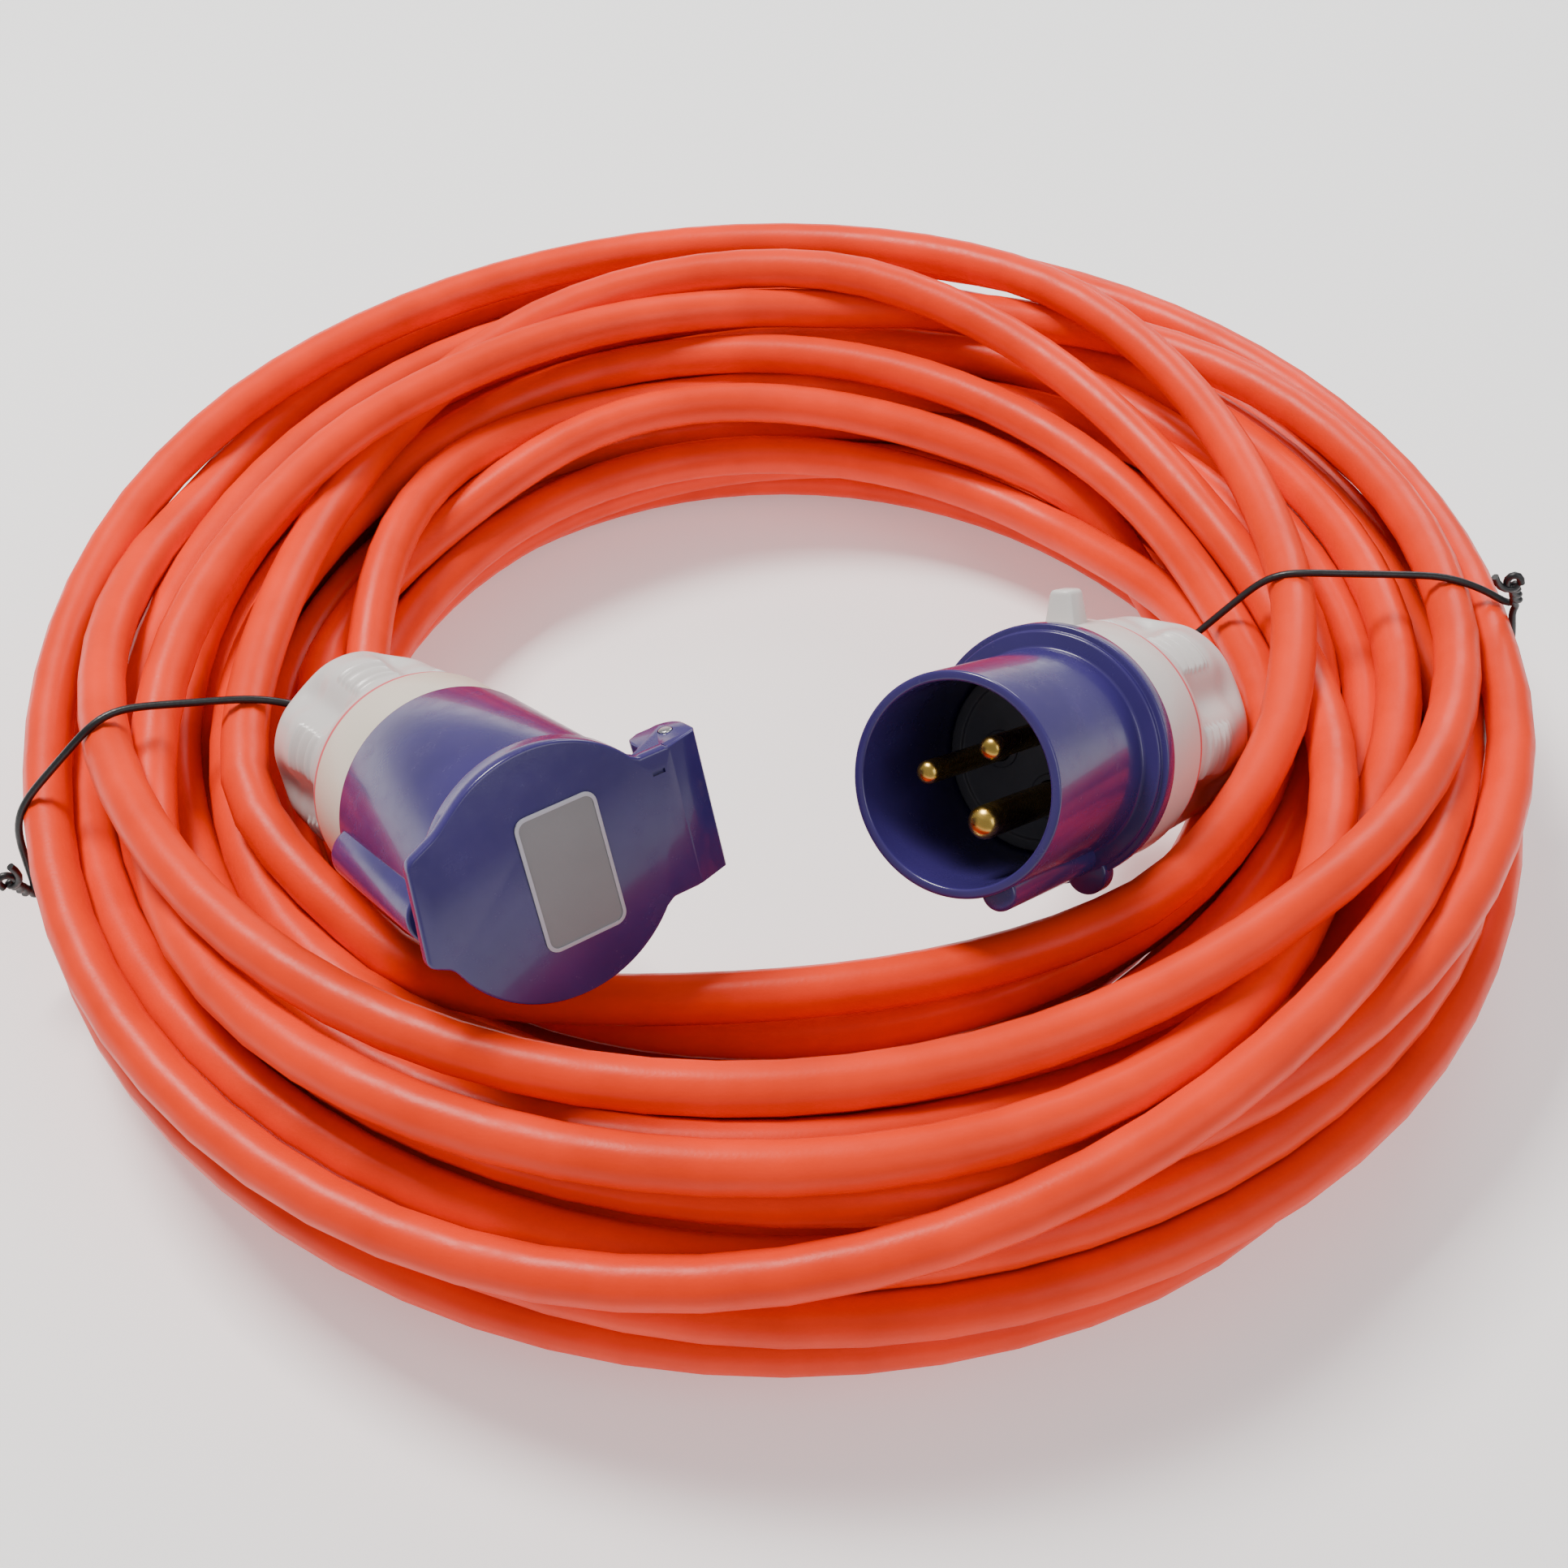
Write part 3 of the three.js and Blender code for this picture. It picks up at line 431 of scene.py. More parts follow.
def turned(outline, segments=96, varied=None):
    """A solid of revolution about Z. varied(radius, z, angle) may change the radius."""
    form = bmesh.new()
    rings = []
    for i in range(segments):
        a = 2 * math.pi * i / segments
        ring = []
        for number, (radius, z) in enumerate(outline):
            if radius < 1e-6:
                ring.append(rings[0][number] if rings else form.verts.new((0, 0, z)))
                continue
            r = varied(radius, z, a) if varied else radius
            ring.append(form.verts.new((r * math.cos(a), r * math.sin(a), z)))
        rings.append(ring)
    for i in range(segments):
        near, far = rings[i], rings[(i + 1) % segments]
        for j in range(len(outline)):
            k = (j + 1) % len(outline)
            corners = []
            for vertex in (near[j], far[j], far[k], near[k]):
                if vertex not in corners:
                    corners.append(vertex)
            if len(corners) > 2:
                form.faces.new(corners)
    bmesh.ops.recalc_face_normals(form, faces=form.faces)
    return form


def extruded(outline, low, high, rounding=0.6, axis="Z"):
    """A flat outline drawn along an axis, with its edges rounded over."""
    form = bmesh.new()
    bottom = [form.verts.new((x, y, low)) for x, y in outline]
    top = [form.verts.new((x, y, high)) for x, y in outline]
    count = len(outline)
    form.faces.new(bottom[::-1])
    form.faces.new(top)
    for i in range(count):
        form.faces.new((bottom[i], bottom[(i + 1) % count], top[(i + 1) % count], top[i]))
    bmesh.ops.recalc_face_normals(form, faces=form.faces)
    if rounding:
        edges = [e for e in form.edges if e.calc_face_angle(0) > 0.35]
        bmesh.ops.bevel(form, geom=edges, offset=rounding, segments=3, affect="EDGES", profile=0.5)
    if axis == "X":
        form.transform(Matrix(((0, 0, 1, 0), (1, 0, 0, 0), (0, 1, 0, 0), (0, 0, 0, 1))))
    return form


def rod_outline(radius, low, high):
    """The outline from which a plain round rod is turned."""
    return [(0, low), (radius, low), (radius, high), (0, high)]


def box_outline(x, y):
    """A rectangle between two values of x and two of y."""
    return [(x[0], y[0]), (x[1], y[0]), (x[1], y[1]), (x[0], y[1])]


def moved(form, x=0, y=0, z=0):
    form.transform(Matrix.Translation((x, y, z)))
    return form


def blank(name, form):
    """A new piece that has the form's shape, still in millimetres on its own axis."""
    mesh = bpy.data.meshes.new(name)
    form.to_mesh(mesh)
    form.free()
    piece = bpy.data.objects.new(name, mesh)
    bpy.context.collection.objects.link(piece)
    return piece


def worked(piece, others, how):
    """Joins or cuts a piece with the others, one after another."""
    for number, other in enumerate(others):
        tool = blank(f"{piece.name}_tool_{number}", other)
        change = piece.modifiers.new("work", "BOOLEAN")
        change.object = tool
        change.operation = how
        change.solver = "MANIFOLD"
        shaped = bpy.data.meshes.new_from_object(piece.evaluated_get(bpy.context.evaluated_depsgraph_get()))
        piece.modifiers.clear()
        spent = piece.data
        piece.data = shaped
        shaped.name = piece.name
        bpy.data.meshes.remove(spent)
        bpy.data.meshes.remove(tool.data)


def fitted(piece, axes, body, material, node, crease=35):
    """Sets a finished piece on its axes and hands it to its body."""
    piece.data.transform(Matrix.Scale(MM, 4) @ axes)
    piece.data.shade_smooth()
    piece.data.set_sharp_from_angle(angle=math.radians(crease))
    piece.data.materials.clear()
    piece.data.materials.append(material)
    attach(piece, body)
    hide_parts(node)


SHROUD_BORE = 21.3
SHROUD_RADIUS = 23.5
SHROUD_LENGTH = 41
FLANGE_RADIUS = 28.9
FLANGE_STEP = 1.5
FLANGE_FRONT = -1.2
FLANGE_BACK = -5
SPIGOT_RADIUS = 24.7
SPIGOT_BACK = -17
KEY_RADIUS = 3.9
blue_nylon = plastic("blue_nylon", (0.034, 0.022, 0.13), 0.2, coat=0.3, mottle=0.12, shine=0.4)


def half_round(radius, low, high, rounding):
    """A round bar; only the half that stands out of another piece shows."""
    return turned(softened([(0, low), (radius, low, rounding), (radius, high, rounding), (0, high)]), 40)


shroud = blank("plug_shroud_blue", turned(softened([
    (SHROUD_BORE, SHROUD_LENGTH, 0.7),
    (SHROUD_RADIUS, SHROUD_LENGTH, 0.7),
    (SHROUD_RADIUS, 0, 0.8),
    (FLANGE_RADIUS - FLANGE_STEP, 0, 0.5),
    (FLANGE_RADIUS - FLANGE_STEP, FLANGE_FRONT, 0.25),
    (FLANGE_RADIUS, FLANGE_FRONT, 0.6),
    (FLANGE_RADIUS, FLANGE_BACK, 0.4),
    (SPIGOT_RADIUS, FLANGE_BACK),
    (SPIGOT_RADIUS, SPIGOT_BACK, 0.5),
    (SHROUD_BORE, SPIGOT_BACK, 0.5),
]), 144))
worked(shroud, [
    moved(half_round(KEY_RADIUS, -1, SHROUD_LENGTH - 1.5, 1.0), y=-SHROUD_RADIUS),
    moved(half_round(KEY_RADIUS + 0.8, -4.9, -0.1, 0.7), y=-FLANGE_RADIUS + 1.4),
], "UNION")
worked(shroud, [
    turned(rod_outline(SHROUD_BORE - 0.05, SPIGOT_BACK - 1, SHROUD_LENGTH - 1), 144),
], "DIFFERENCE")
fitted(shroud, plug_axes, "lead", blue_nylon, "plug_shroud")

# ---------------------------------------------------------------- plug contacts
# Three turned brass pins with domed ends stand in a dark moulded insert; the earth pin is
# the thicker one. Behind the insert each ends in a screw terminal.
PIN_CIRCLE = 9.1
PIN_REACH = 37
TERMINAL_FRONT = -14.3
TERMINAL_LENGTH = 10
SCREW_HOLE_RADIUS = 1.55
CONTACTS = {"line": (150, 2.5), "neutral": (30, 2.5), "earth": (270, 3.5)}     # angle, radius
dark_nylon = plastic("dark_nylon", (0.1, 0.1, 0.115), 0.42, mottle=0.2, grain=0.12)


def metal(name, colour, roughness, marks=0.12, mark_scale=(300, 300, 2600)):
    """Bare metal with fine tool marks, slightly tarnished in patches."""
    material = bpy.data.materials.new(name)
    material.use_nodes = True
    nodes = material.node_tree.nodes
    link = material.node_tree.links.new
    shader = nodes["Principled BSDF"]
    shader.inputs["Metallic"].default_value = 1
    where = nodes.new("ShaderNodeTexCoord").outputs["Object"]
    stretch = nodes.new("ShaderNodeMapping")
    stretch.inputs["Scale"].default_value = mark_scale
    link(where, stretch.inputs["Vector"])
    lines = noise(material, stretch.outputs["Vector"], scale=1, detail=4)
    tarnish = noise(material, where, scale=220, detail=5)
    two_tones(material, tarnish, (0.35, 0.65), [c * 0.72 for c in colour], colour)
    rough = nodes.new("ShaderNodeMapRange")
    rough.inputs["To Min"].default_value = max(0.05, roughness - marks)
    rough.inputs["To Max"].default_value = roughness + marks
    link(lines, rough.inputs["Value"])
    link(rough.outputs["Result"], shader.inputs["Roughness"])
    relief(material, lines, 0.15, 0.0001)
    return material


def contact_place(angle):
    """Where a contact stands on the circle that all three stand on."""
    return PIN_CIRCLE * math.cos(math.radians(angle)), PIN_CIRCLE * math.sin(math.radians(angle))


def screw_hole(reach, angle, height):
    """A hole from a contact's middle outwards, for its terminal screw."""
    hole = turned(rod_outline(SCREW_HOLE_RADIUS, 0, reach), 20)
    hole.transform(Matrix.Rotation(math.radians(angle), 4, "Z") @ Matrix.Rotation(math.pi / 2, 4, "Y"))
    return moved(hole, z=height)


pin_brass = metal("pin_brass", (0.66, 0.43, 0.1), 0.27)
insert = blank("plug_insert_dark", turned(softened([
    (0, -14), (21.0, -14, 0.4), (21.0, 2.5, 0.5), (18.6, 2.5, 0.3), (18.2, 1.9, 0.3), (0, 1.9),
]), 96))
bosses = []
holes = []
for angle, radius in CONTACTS.values():
    bosses.append(moved(half_round(radius + 1.7, -3, 2.45, 0.4), *contact_place(angle)))
    holes.append(moved(turned(rod_outline(radius + 0.25, -15, 4), 40), *contact_place(angle)))
worked(insert, bosses, "UNION")
worked(insert, holes, "DIFFERENCE")
fitted(insert, plug_axes, "lead", dark_nylon, "plug_contact_insert")
for role, (angle, radius) in CONTACTS.items():
    head = radius + 1.9
    back = TERMINAL_FRONT - TERMINAL_LENGTH
    dome_height = radius * 0.75
    dome = [(radius * math.cos(a), PIN_REACH - dome_height + dome_height * math.sin(a))
            for a in np.linspace(0, math.pi / 2 - 0.02, 9)]
    pin = blank(f"plug_pin_{role}_brass", turned(
        softened([(2.0, back), (head, back, 0.3), (head, TERMINAL_FRONT, 0.3), (radius, TERMINAL_FRONT)])
        + dome + [(0, PIN_REACH), (0, TERMINAL_FRONT - 2), (2.0, TERMINAL_FRONT - 2)], 48))
    worked(pin, [screw_hole(head + 1, angle, TERMINAL_FRONT - TERMINAL_LENGTH / 2)], "DIFFERENCE")
    on_circle = Matrix.Translation((*contact_place(angle), 0))
    fitted(pin, plug_axes @ on_circle, "lead", pin_brass, f"plug_pin_{role}")

# ---------------------------------------------------------------- plug collar and gland nut
# White mouldings. The collar is screwed on the shroud's spigot and carries a tapered nose; the
# gland nut is screwed on its neck over a pink seal ring and grips the cable through a cone.
WEB_HOLE = 7.3              # the cable's hole in the collar's web
NUT_VALLEYS = 6
VALLEY_DEPTH = 3.4
VALLEY_WIDTH = 13           # degrees round the nut
RIB_HEIGHT = 0.95
RIB_PITCH = 2.1
STATION_GAP = 0.38          # between two rings of the nut's mesh


def smooth_step(value, low, high):
    """0 below low, 1 above high, and a smooth rise between them."""
    t = min(1, max(0, (value - low) / (high - low)))
    return t * t * (3 - 2 * t)


def collar_form(spigot, spigot_back, front, radius, back, neck, bore, neck_back, web):
    """A round shell with a threaded neck behind, and a web in it that the cable runs through."""
    return turned(softened([
        (spigot + 0.3, front, 0.3),
        (radius, front, 0.8),
        (radius, back, 0.8),
        (neck, back),
        (neck, neck_back, 0.4),
        (bore, neck_back, 0.4),
        (bore, web - 2.5),
        (WEB_HOLE, web - 2.5, 0.4),
        (WEB_HOLE, web, 0.4),
        (bore, web),
        (bore, back + 2.5),
        (spigot - 2.2, back + 2.5),
        (spigot - 2.2, spigot_back - 0.3),
        (spigot + 0.3, spigot_back - 0.3),
    ]), 128)


def seal_ring_form(neck, radius, back):
    """A flat ring on a collar's neck, between the collar and the nut."""
    return turned(softened([
        (neck + 0.3, back - 0.2),
        (radius - 0.25, back - 0.2, 0.3),
        (radius - 0.25, back - 1.2, 0.3),
        (neck + 0.3, back - 1.2),
    ]), 128)


def gland_nut_form(front, back, radius, waist, neck, bore, neck_back, turn):
    """A waisted nut with six shallow valleys round it and fine grip ribs between them."""
    length = front - back
    share = np.linspace(0, 1, int(length / STATION_GAP))
    stations = [0, 0.03, 0.16, 0.34, 0.58, 0.78, 0.92, 1]
    sizes = [radius - 1.1, radius - 0.9, waist + 0.8, waist, waist + 1.6, waist + 1.2, waist - 3.5,
             waist - 10]
    soft = np.hanning(13)
    skin = np.convolve(np.pad(np.interp(share, stations, sizes), 6, mode="edge"), soft / soft.sum(), "valid")
    outline = [(r, front - s * length) for r, s in zip(skin, share)]
    outline += [(skin[-1] - 2, back - 0.25), (6.4, back), (6.4, back + 6), (9.0, back + 6)]
    outline += [(bore, neck_back - 0.3), (neck + 0.3, neck_back - 0.3), (neck + 0.3, front)]

    def grip(r, z, angle):
        s = (front - z) / length
        if r < np.interp(s, share, skin) - 0.05 or s >= 1:
            return r
        half_pitch = 180 / NUT_VALLEYS
        off_valley = (math.degrees(angle) + turn) % (2 * half_pitch) - half_pitch
        depth = smooth_step(s, 0.1, 0.26) * (1 - smooth_step(s, 0.66, 0.86))
        valley = VALLEY_DEPTH * math.exp(-(off_valley / VALLEY_WIDTH) ** 2) * depth
        panel = 1 - smooth_step(half_pitch - abs(off_valley), 13, 15)
        band = smooth_step(s, 0.19, 0.22) * (1 - smooth_step(s, 0.5, 0.54))
        rib = RIB_HEIGHT * (0.5 + 0.5 * math.cos(2 * math.pi * (front - z) / RIB_PITCH)) ** 1.3
        return r - valley + rib * panel * band

    return turned(outline, 240, grip)


white_plastic = plastic("white_plastic", (0.66, 0.62, 0.595), 0.36, coat=0.12, mottle=0.03, grain=0.12)
white_nut = plastic("white_nut", (0.64, 0.605, 0.59), 0.3, coat=0.12, mottle=0.025, grain=0.08,
                    grain_size=1200)
pink_rubber = plastic("pink_rubber", (0.7, 0.1, 0.12), 0.5, mottle=0.1, grain=0.15)

PLUG_SHELL = 28.0           # the collar's and the nut's outer radius
PLUG_COLLAR_BACK = -22.5
plug_neck = {"neck": 20.5, "bore": 18.3, "neck_back": -49.78}
collar = blank("plug_collar_white", collar_form(
    spigot=SPIGOT_RADIUS, spigot_back=SPIGOT_BACK, front=-5.3, radius=PLUG_SHELL, back=PLUG_COLLAR_BACK,
    web=-36.78, **plug_neck))
NOSE_MIDDLE = -12.6
NOSE_TURN = -22             # degrees
nose = extruded([(-3.9, 25.6), (3.9, 25.6), (2.5, 35.4), (-2.5, 35.4)], -17.3, -8.6, 1.1)
for vertex in nose.verts:
    if vertex.co.y > 31:
        vertex.co.z = NOSE_MIDDLE + (vertex.co.z - NOSE_MIDDLE) * 0.8
nose.transform(Matrix.Rotation(math.radians(NOSE_TURN), 4, "Z"))
worked(collar, [nose], "UNION")
fitted(collar, plug_axes, "lead", white_plastic, "plug_collar")
seal = blank("plug_seal_pink", seal_ring_form(plug_neck["neck"], PLUG_SHELL, PLUG_COLLAR_BACK))
fitted(seal, plug_axes, "lead", pink_rubber, "plug_seal_ring")
nut = blank("plug_nut_white", gland_nut_form(
    front=-23.9, back=PLUG_GLAND_Z, radius=PLUG_SHELL, waist=24.6, turn=30, **plug_neck))
fitted(nut, plug_axes, "plug_nut", white_nut, "plug_gland_nut", crease=60)

# ---------------------------------------------------------------- socket housing
# A blue moulded tube with a half-round key bulge, hollow inside for the plug's key, and an
# ear at the back for the lid's hinge. Its spigot is screwed into the socket's collar.
HOUSING_RADIUS = 25.8
HOUSING_BORE = 23.9
HOUSING_FRONT = 40.5
SOCKET_SPIGOT = 23.7
SOCKET_SPIGOT_BACK = -13.5
SOCKET_KEY_Y = -23.5
HINGE_Y = 32.5
HINGE_Z = 38.5


def across_hinge(form):
    """Lays a turned form along the hinge's own axis."""
    form.transform(Matrix.Translation((0, HINGE_Y, HINGE_Z)) @ Matrix.Rotation(math.pi / 2, 4, "Y"))
    return form


housing = blank("socket_housing_blue", turned(softened([
    (21.1, SOCKET_SPIGOT_BACK),
    (SOCKET_SPIGOT, SOCKET_SPIGOT_BACK, 0.4),
    (SOCKET_SPIGOT, -4),
    (HOUSING_RADIUS, -4, 0.6),
    (HOUSING_RADIUS, HOUSING_FRONT, 0.6),
    (HOUSING_BORE, HOUSING_FRONT, 0.5),
    (HOUSING_BORE, -1.5),
    (21.1, -1.5),
]), 128))
worked(housing, [
    moved(half_round(6, -1.4, HOUSING_FRONT - 0.1, 0.7), y=SOCKET_KEY_Y),
    extruded(box_outline((-4, 4), (24.9, HINGE_Y)), 31.5, 40.3, 0.5),
    across_hinge(turned(rod_outline(4.2, -3.9, 3.9), 40)),
], "UNION")
worked(housing, [
    turned(rod_outline(HOUSING_BORE - 0.05, -1.3, 42), 128),
    moved(turned(rod_outline(4.3, 0.5, 42), 40), y=SOCKET_KEY_Y),
    across_hinge(turned(rod_outline(1.75, -10, 10), 24)),
], "DIFFERENCE")
fitted(housing, socket_axes, "lead", blue_nylon, "socket_housing")

# ---------------------------------------------------------------- socket contacts
# A dark insert fills the housing's middle and leaves a groove for the plug's shroud. Three
# brass sleeves sit in it, the earth sleeve the wider one.
insert = blank("socket_insert_dark", turned(softened([
    (0, -10.5), (20.8, -10.5, 0.4), (20.8, 39, 0.7), (0, 39),
]), 96))
SLEEVES = {"line": (30, 2.6), "neutral": (150, 2.6), "earth": (-90, 3.6)}      # angle, bore
SLEEVE_FRONT = -10.8
holes = []
for angle, bore_radius in SLEEVES.values():
    outer = bore_radius + 1.0
    mouth = [(0, -12), (outer, -12), (outer, 37.4), (bore_radius, 37.8), (bore_radius, 40), (0, 40)]
    holes.append(moved(turned(mouth, 40), *contact_place(angle)))
worked(insert, holes, "DIFFERENCE")
fitted(insert, socket_axes, "lead", dark_nylon, "socket_contact_insert")
for role, (angle, bore_radius) in SLEEVES.items():
    outer = bore_radius + 0.7
    back = SLEEVE_FRONT - TERMINAL_LENGTH
    sleeve = blank(f"socket_sleeve_{role}_brass", turned(softened([
        (2.0, back),
        (outer + 0.5, back, 0.3),
        (outer + 0.5, SLEEVE_FRONT, 0.2),
        (outer, SLEEVE_FRONT),
        (outer, 35, 0.3),
        (bore_radius, 35, 0.3),
        (bore_radius, 2),
        (0, 2),
        (0, SLEEVE_FRONT - 2),
        (2.0, SLEEVE_FRONT - 2),
    ]), 48))
    worked(sleeve, [screw_hole(outer + 2, angle, SLEEVE_FRONT - TERMINAL_LENGTH / 2)], "DIFFERENCE")
    on_circle = Matrix.Translation((*contact_place(angle), 0))
    fitted(sleeve, socket_axes @ on_circle, "lead", pin_brass, f"socket_sleeve_{role}")

# ---------------------------------------------------------------- socket collar and gland nut
# The same kind of mouldings as the plug's, one size smaller. The collar is cream instead of
# white and has no nose; it is screwed on the housing's spigot, and the nut on its neck.
SOCKET_SHELL = 25.2
SOCKET_COLLAR_BACK = -20.5
socket_neck = {"neck": 17.7, "bore": 15.5, "neck_back": -46.54}
cream_plastic = plastic("cream_plastic", (0.67, 0.595, 0.5), 0.36, coat=0.1, mottle=0.03, grain=0.12)
collar = blank("socket_collar_white", collar_form(
    spigot=SOCKET_SPIGOT, spigot_back=SOCKET_SPIGOT_BACK, front=-4.3, radius=SOCKET_SHELL,
    back=SOCKET_COLLAR_BACK, web=-33.54, **socket_neck))
fitted(collar, socket_axes, "lead", cream_plastic, "socket_collar")
seal = blank("socket_seal_pink", seal_ring_form(socket_neck["neck"], SOCKET_SHELL, SOCKET_COLLAR_BACK))
fitted(seal, socket_axes, "lead", pink_rubber, "socket_seal_ring")
nut = blank("socket_nut_white", gland_nut_form(
    front=-21.9, back=SOCKET_GLAND_Z, radius=SOCKET_SHELL, waist=21.8, turn=0, **socket_neck))
fitted(nut, socket_axes, "socket_nut", white_nut, "socket_gland_nut", crease=60)

# ---------------------------------------------------------------- socket lid
# A blue dished cap with a thumb tab on one side and a hinge block on the other, a dark
# sealing ring under it and a blank name plate on top. It turns on the hinge pin.
LID_RADIUS = 26.7
LID_TOP = 46.0
CHEEK_WIDTH = 6.3


def lid_arc(start, end):
    """The lid's round edge between two angles, in degrees."""
    angles = np.radians(np.arange(start, end, 3.0))
    return [(LID_RADIUS * math.cos(a), LID_RADIUS * math.sin(a)) for a in angles]


thumb_tab = [(-17.4, -21.2, 1.4), (-14.4, -27.8, 1.6), (7.2, -29.6, 1.6), (9.6, -25.0, 1.4)]
hinge_block = [(15.6, 22.6), (15.6, 29.6, 1.3), (-15.6, 29.6, 1.3), (-15.6, 22.6)]
lid_outline = lid_arc(128.6, 219) + thumb_tab + lid_arc(300, 412) + hinge_block
lid = blank("socket_lid_blue", extruded(softened(lid_outline), LID_TOP - 3, LID_TOP, 0.6))
rim = turned(softened([(22, 40.8, 0.4), (26.65, 40.8, 0.5), (26.65, 44.6), (22, 44.6)]), 144)
cheek = [(19.5, 44.5), (24.0, 41.5), (25.0, 40.6), (24.9, 38.0), (25.6, 35.6), (28.0, 34.3)]
cheek += [(HINGE_Y + 4.4 * math.cos(a), HINGE_Z + 4.4 * math.sin(a)) for a in np.linspace(-1.9, 0, 9)]
cheek += [(36.9, 42.3), (36.3, 43.2), (28.8, 45.6), (19.5, 45.6)]
cheeks = [extruded(cheek, x, x + CHEEK_WIDTH, 0.3, "X") for x in (-15.5, 9.2)]
cover = extruded([(26.3, 43.7), (26.4, 45.93), (29.3, 45.93), (36.2, 43.5), (36.8, 42.5), (36.8, 40.3),
                  (35.7, 40.9), (34.3, 43.2)], -15.37, 15.37, 0.25, "X")
worked(lid, cheeks + [cover, rim], "UNION")
small_slot = extruded(box_outline((-11.6, -10.7), (24.4, 27.2)), LID_TOP - 0.6, LID_TOP + 1, 0)
worked(lid, [
    turned(rod_outline(24.6, 39, 43.4), 128),
    small_slot,
    across_hinge(turned(rod_outline(1.6, -20, 20), 24)),
], "DIFFERENCE")
fitted(lid, socket_axes, "lid", blue_nylon, "socket_lid")
lid_rubber = plastic("lid_rubber", (0.03, 0.03, 0.032), 0.6, mottle=0.2, grain=0.25)
lid_seal = blank("socket_lid_seal_black", turned(softened([
    (20.5, 40.9, 0.5), (24.3, 40.9, 0.5), (24.3, 43.3), (20.5, 43.3),
]), 128))
fitted(lid_seal, socket_axes, "lid", lid_rubber, "socket_lid_seal")
plate_paint = plastic("plate_paint", (0.42, 0.41, 0.47), 0.42, mottle=0.05, grain=0.1)
PLATE_X = (-14.0, 15.4)
PLATE_Y = (-6.2, 11.6)
PLATE_TOP = 46.5
FIELD_FLOOR = 46.3          # the field inside the plate's rim is sunk to here
FIELD_INSET = 0.8


def plate_outline(inset, rounding):
    """The plate's outline with round corners, or a smaller one inside it."""
    shape = []
    for number in range(4):
        right = number in (1, 2)
        far = number in (2, 3)
        x = PLATE_X[right] + (-inset if right else inset)
        y = PLATE_Y[far] + (-inset if far else inset)
        x += -rounding if right else rounding
        y += -rounding if far else rounding
        for i in range(7):
            a = math.radians(180 + 90 * number + 15 * i)
            shape.append((x + rounding * math.cos(a), y + rounding * math.sin(a)))
    return shape


plate = blank("socket_lid_plate_grey", extruded(plate_outline(0, 2.6), LID_TOP + 0.02, PLATE_TOP, 0.15))
worked(plate, [extruded(plate_outline(FIELD_INSET, 1.9), FIELD_FLOOR, PLATE_TOP + 0.5, 0)], "DIFFERENCE")
fitted(plate, socket_axes, "lid", plate_paint, "socket_lid_plate")
plate.data.materials.append(plastic("plate_field", (0.2, 0.2, 0.21), 0.4, mottle=0.05, grain=0.1))
field_edge = FIELD_INSET + 0.1
into_socket = socket_axes.inverted()
for face in plate.data.polygons:
    centre = into_socket @ (face.center / MM)
    sunk = FIELD_FLOOR - 0.1 < centre.z < PLATE_TOP - 0.05
    if sunk and PLATE_X[0] + field_edge < centre.x < PLATE_X[1] - field_edge:
        face.material_index = 1

# ---------------------------------------------------------------- hinge pin and spring
# A plain steel pin through the lid's knuckles and the housing's ear, with a small wire
# spring round it that presses the lid shut.
PIN_HALF_LENGTH = 15.8
SPRING_START = 5.2          # along the hinge's axis
SPRING_LENGTH = 3.0
SPRING_RADIUS = 2.65
SPRING_WIRE_RADIUS = 0.45
hinge_steel = metal("hinge_steel", (0.62, 0.62, 0.63), 0.22)
pin = turned(softened([
    (0, -PIN_HALF_LENGTH),
    (1.45, -PIN_HALF_LENGTH, 0.35),
    (1.45, PIN_HALF_LENGTH, 0.35),
    (0, PIN_HALF_LENGTH),
]), 40)
fitted(blank("socket_hinge_pin_steel", across_hinge(pin)), socket_axes, "lead", hinge_steel,
       "socket_hinge_pin")
coils = []
for i in range(97):
    a = 2 * math.pi * i / 32
    coils.append(socket_axes @ Vector((
        SPRING_START + SPRING_LENGTH * i / 96,
        HINGE_Y + SPRING_RADIUS * math.cos(a),
        HINGE_Z + SPRING_RADIUS * math.sin(a),
    )) * MM)
spring = wire("socket_lid_spring_steel", coils, SPRING_WIRE_RADIUS, hinge_steel)
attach(spring, "lead")
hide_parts("socket_lid_spring")

# ---------------------------------------------------------------- wire ties
# Two plastic-covered wires tied round the bundle. Each is one wire: it goes round the cable,
# and its two ends are twisted together outside.
TIE_RADIUS = 0.9
KNOT_GAP = 4                # degrees on each side of the knot, where the loop is open
TWIST_TURNS = 2.4
FRAYED = 0.7                # the share of the twist after which its two ends part
tie_black = plastic("tie_black", (0.008, 0.008, 0.01), 0.36, mottle=0.3, grain=0.2, scuffs=0.25)


def bundle_points(slice_number):
    """Where the cable passes a slice, as radius and height."""
    cells = [turn * SLICES + slice_number for turn in range(TURNS)]
    return np.array([spot[cell] for cell in cells if laid[cell]])


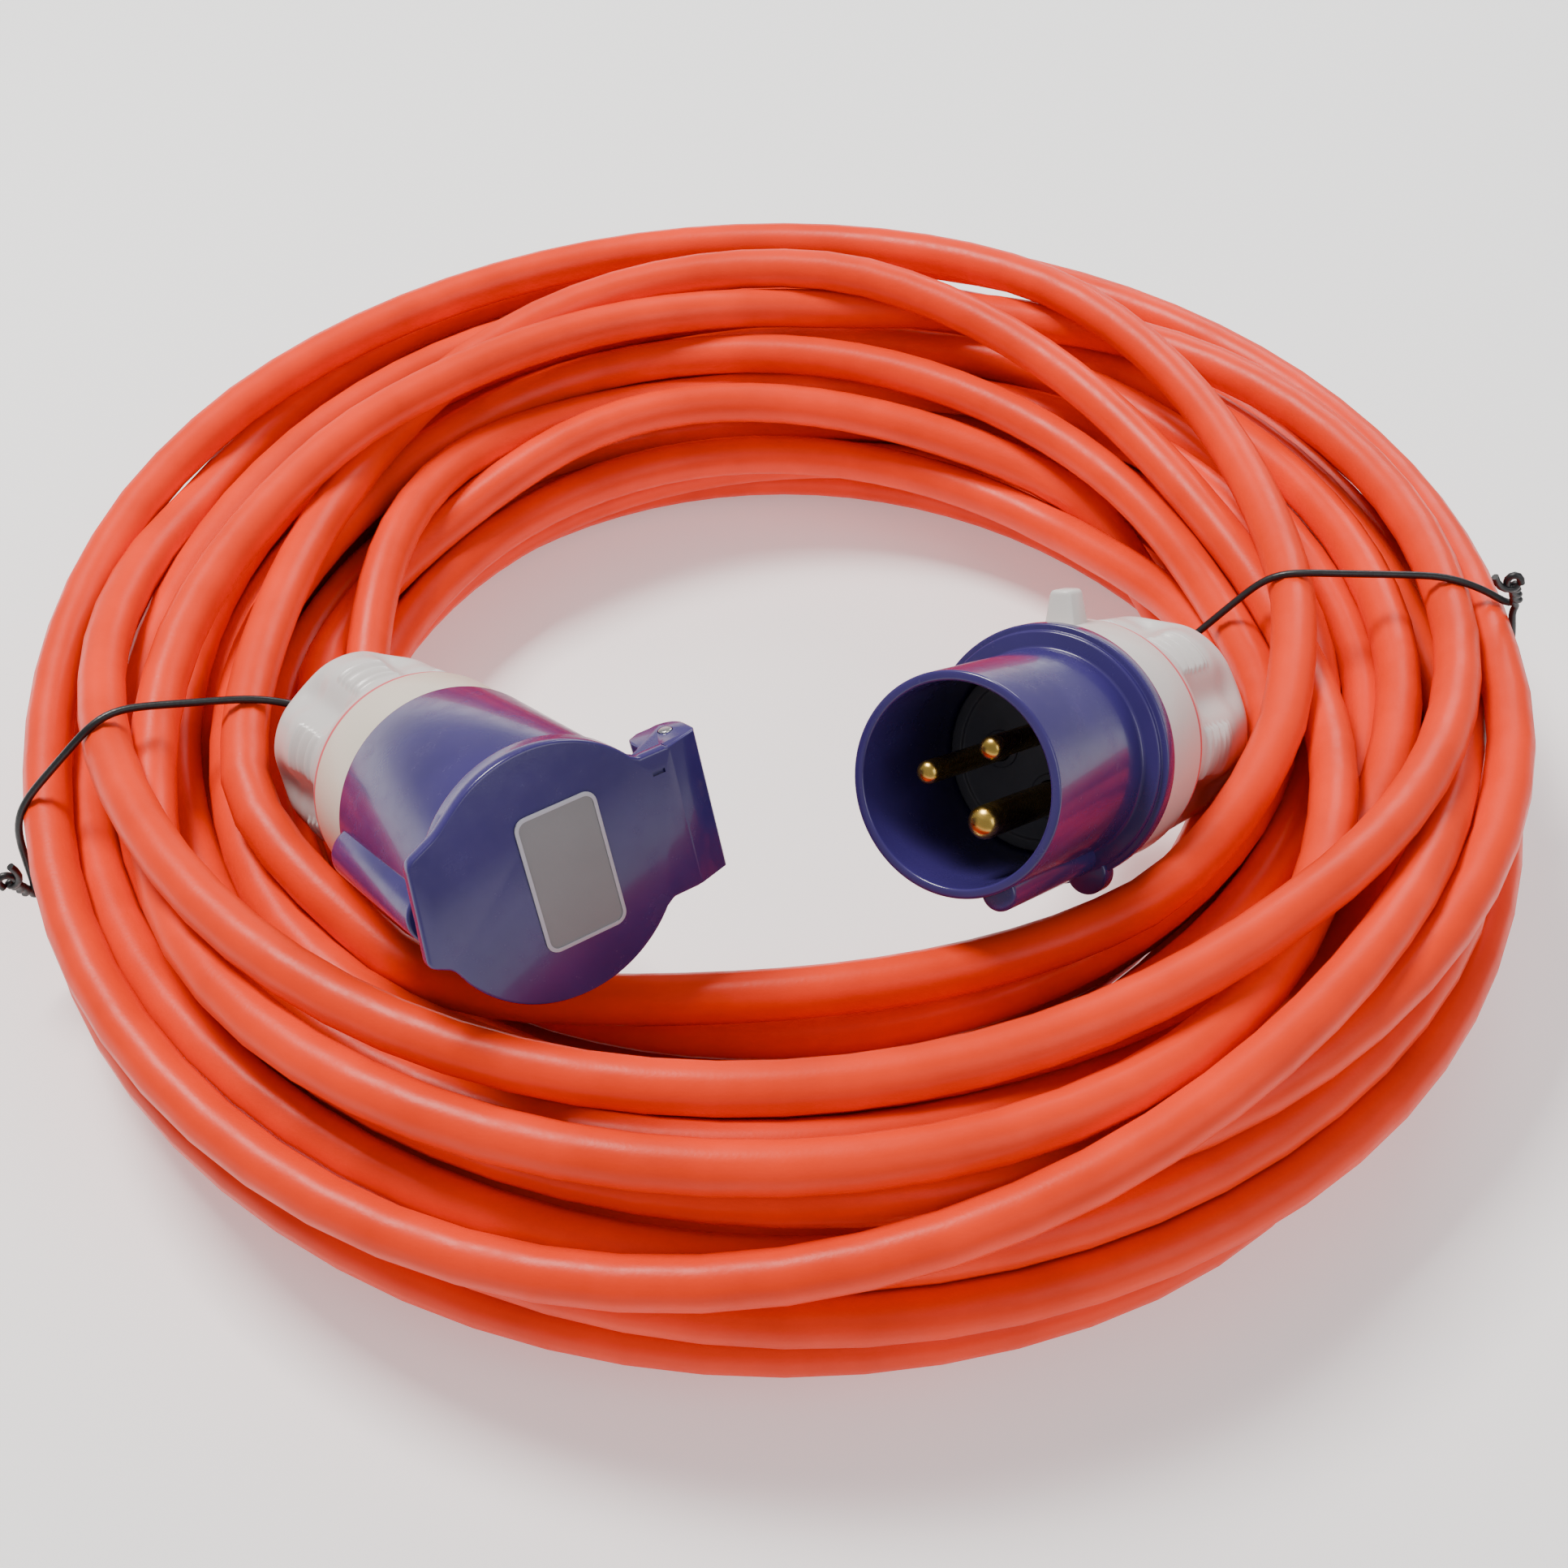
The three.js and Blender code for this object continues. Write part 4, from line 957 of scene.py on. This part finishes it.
def tie_loop(azimuth, knot_at, lean):
    """Once round the bundle, close to the cable, from one side of the knot to the other."""
    number = int(round(((azimuth - FIRST_SLICE) % 360) / step)) % SLICES
    near = np.vstack([bundle_points((number + k) % SLICES) for k in (-1, 0, 1)])
    loop = []
    for i in range(65):
        a = math.radians(knot_at + KNOT_GAP + (360 - 2 * KNOT_GAP) * i / 64)
        n = np.array((math.cos(a), math.sin(a)))
        edge = near[np.argmax(near @ n)] + n * (CABLE_RADIUS + TIE_RADIUS + 0.15)
        turn = math.radians(azimuth + lean * math.cos(a))
        loop.append((edge[0] * math.cos(turn), edge[0] * math.sin(turn), max(edge[1], TIE_RADIUS)))
    return np.array(loop)


def tie_path(azimuth, knot_at, lean, twist_length, fan):
    """One twisted end, the loop round the bundle, and the other twisted end."""
    loop = tie_loop(azimuth, knot_at, lean)
    a = math.radians(knot_at)
    turn = math.radians(azimuth + lean * math.cos(a))
    out = np.array((math.cos(turn) * math.cos(a), math.sin(turn) * math.cos(a), math.sin(a)))
    along_coil = np.array((-math.sin(turn), math.cos(turn), 0))
    down = np.cross(out, along_coil)
    root = (loop[0] + loop[-1]) / 2 + out * TIE_RADIUS
    ends = []
    for side in (0, 1):
        tail = []
        for i in range(30):
            t = i / 29
            a = math.pi * side + 2 * math.pi * TWIST_TURNS * t
            apart = TIE_RADIUS * 1.02
            if t >= FRAYED:
                apart += 9 * (t - FRAYED)
            sway = fan[0] * out * math.sin(1.7 * t) + fan[1] * down * t + fan[2] * along_coil * t
            swirl = out * math.sin(a) * apart * 0.9 + down * math.cos(a) * apart
            tail.append(root + sway * twist_length + swirl + out * 0.6)
        ends.append(tail)
    travel = np.concatenate([[0], np.cumsum(np.linalg.norm(np.diff(loop, axis=0), axis=1))])
    even = np.linspace(0, travel[-1], 140)
    loop = np.stack([np.interp(even, travel, values) for values in loop.T], axis=1)
    for repeat in range(8):
        straighten(loop, 0.4)
    path = np.vstack([ends[0][::-1], loop, ends[1]])
    for repeat in range(2):
        straighten(path, 0.25)
    return path * MM


ties = {
    "left": tie_path(azimuth=198, knot_at=-8, lean=1.5, twist_length=12, fan=(0.12, 0.9, 0.3)),
    "right": tie_path(azimuth=0.5, knot_at=40, lean=-1.5, twist_length=14, fan=(0.2, 0.9, -0.35)),
}
for side, path in ties.items():
    tie = wire(f"tie_{side}_black", path, TIE_RADIUS, tie_black)
    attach(tie, "lead")
    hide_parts(f"tie_{side}")

# ---------------------------------------------------------------- pieces inside the glands
# The clamp rings, cable seals, insulated cores and terminal screws are hidden by the shells.
# They keep their own shapes and are given their materials.
clamp_nylon = plastic("clamp_nylon", (0.5, 0.5, 0.48), 0.45, mottle=0.08, grain=0.2)
grommet_rubber = plastic("grommet_rubber", (0.025, 0.025, 0.026), 0.62, mottle=0.2, grain=0.3)
core_paints = {
    "brown": plastic("core_brown", (0.12, 0.04, 0.015), 0.42, mottle=0.15),
    "blue": plastic("core_blue", (0.02, 0.09, 0.42), 0.42, mottle=0.12),
    "green_yellow": plastic("core_green_yellow", (0.3, 0.42, 0.03), 0.42, mottle=0.3),
}
screw_steel = metal("screw_steel", (0.6, 0.59, 0.56), 0.3)
inside = {}
for end in ("plug", "socket"):
    inside[f"{end}_clamp_ring"] = clamp_nylon
    inside[f"{end}_cable_seal"] = grommet_rubber
    for colour, paint in core_paints.items():
        inside[f"{end}_core_{colour}"] = paint
    for role in CONTACTS:
        inside[f"{end}_terminal_screw_{role}"] = screw_steel
for name, material in inside.items():
    for material_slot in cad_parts[name].material_slots:
        material_slot.link = "OBJECT"
        material_slot.material = material
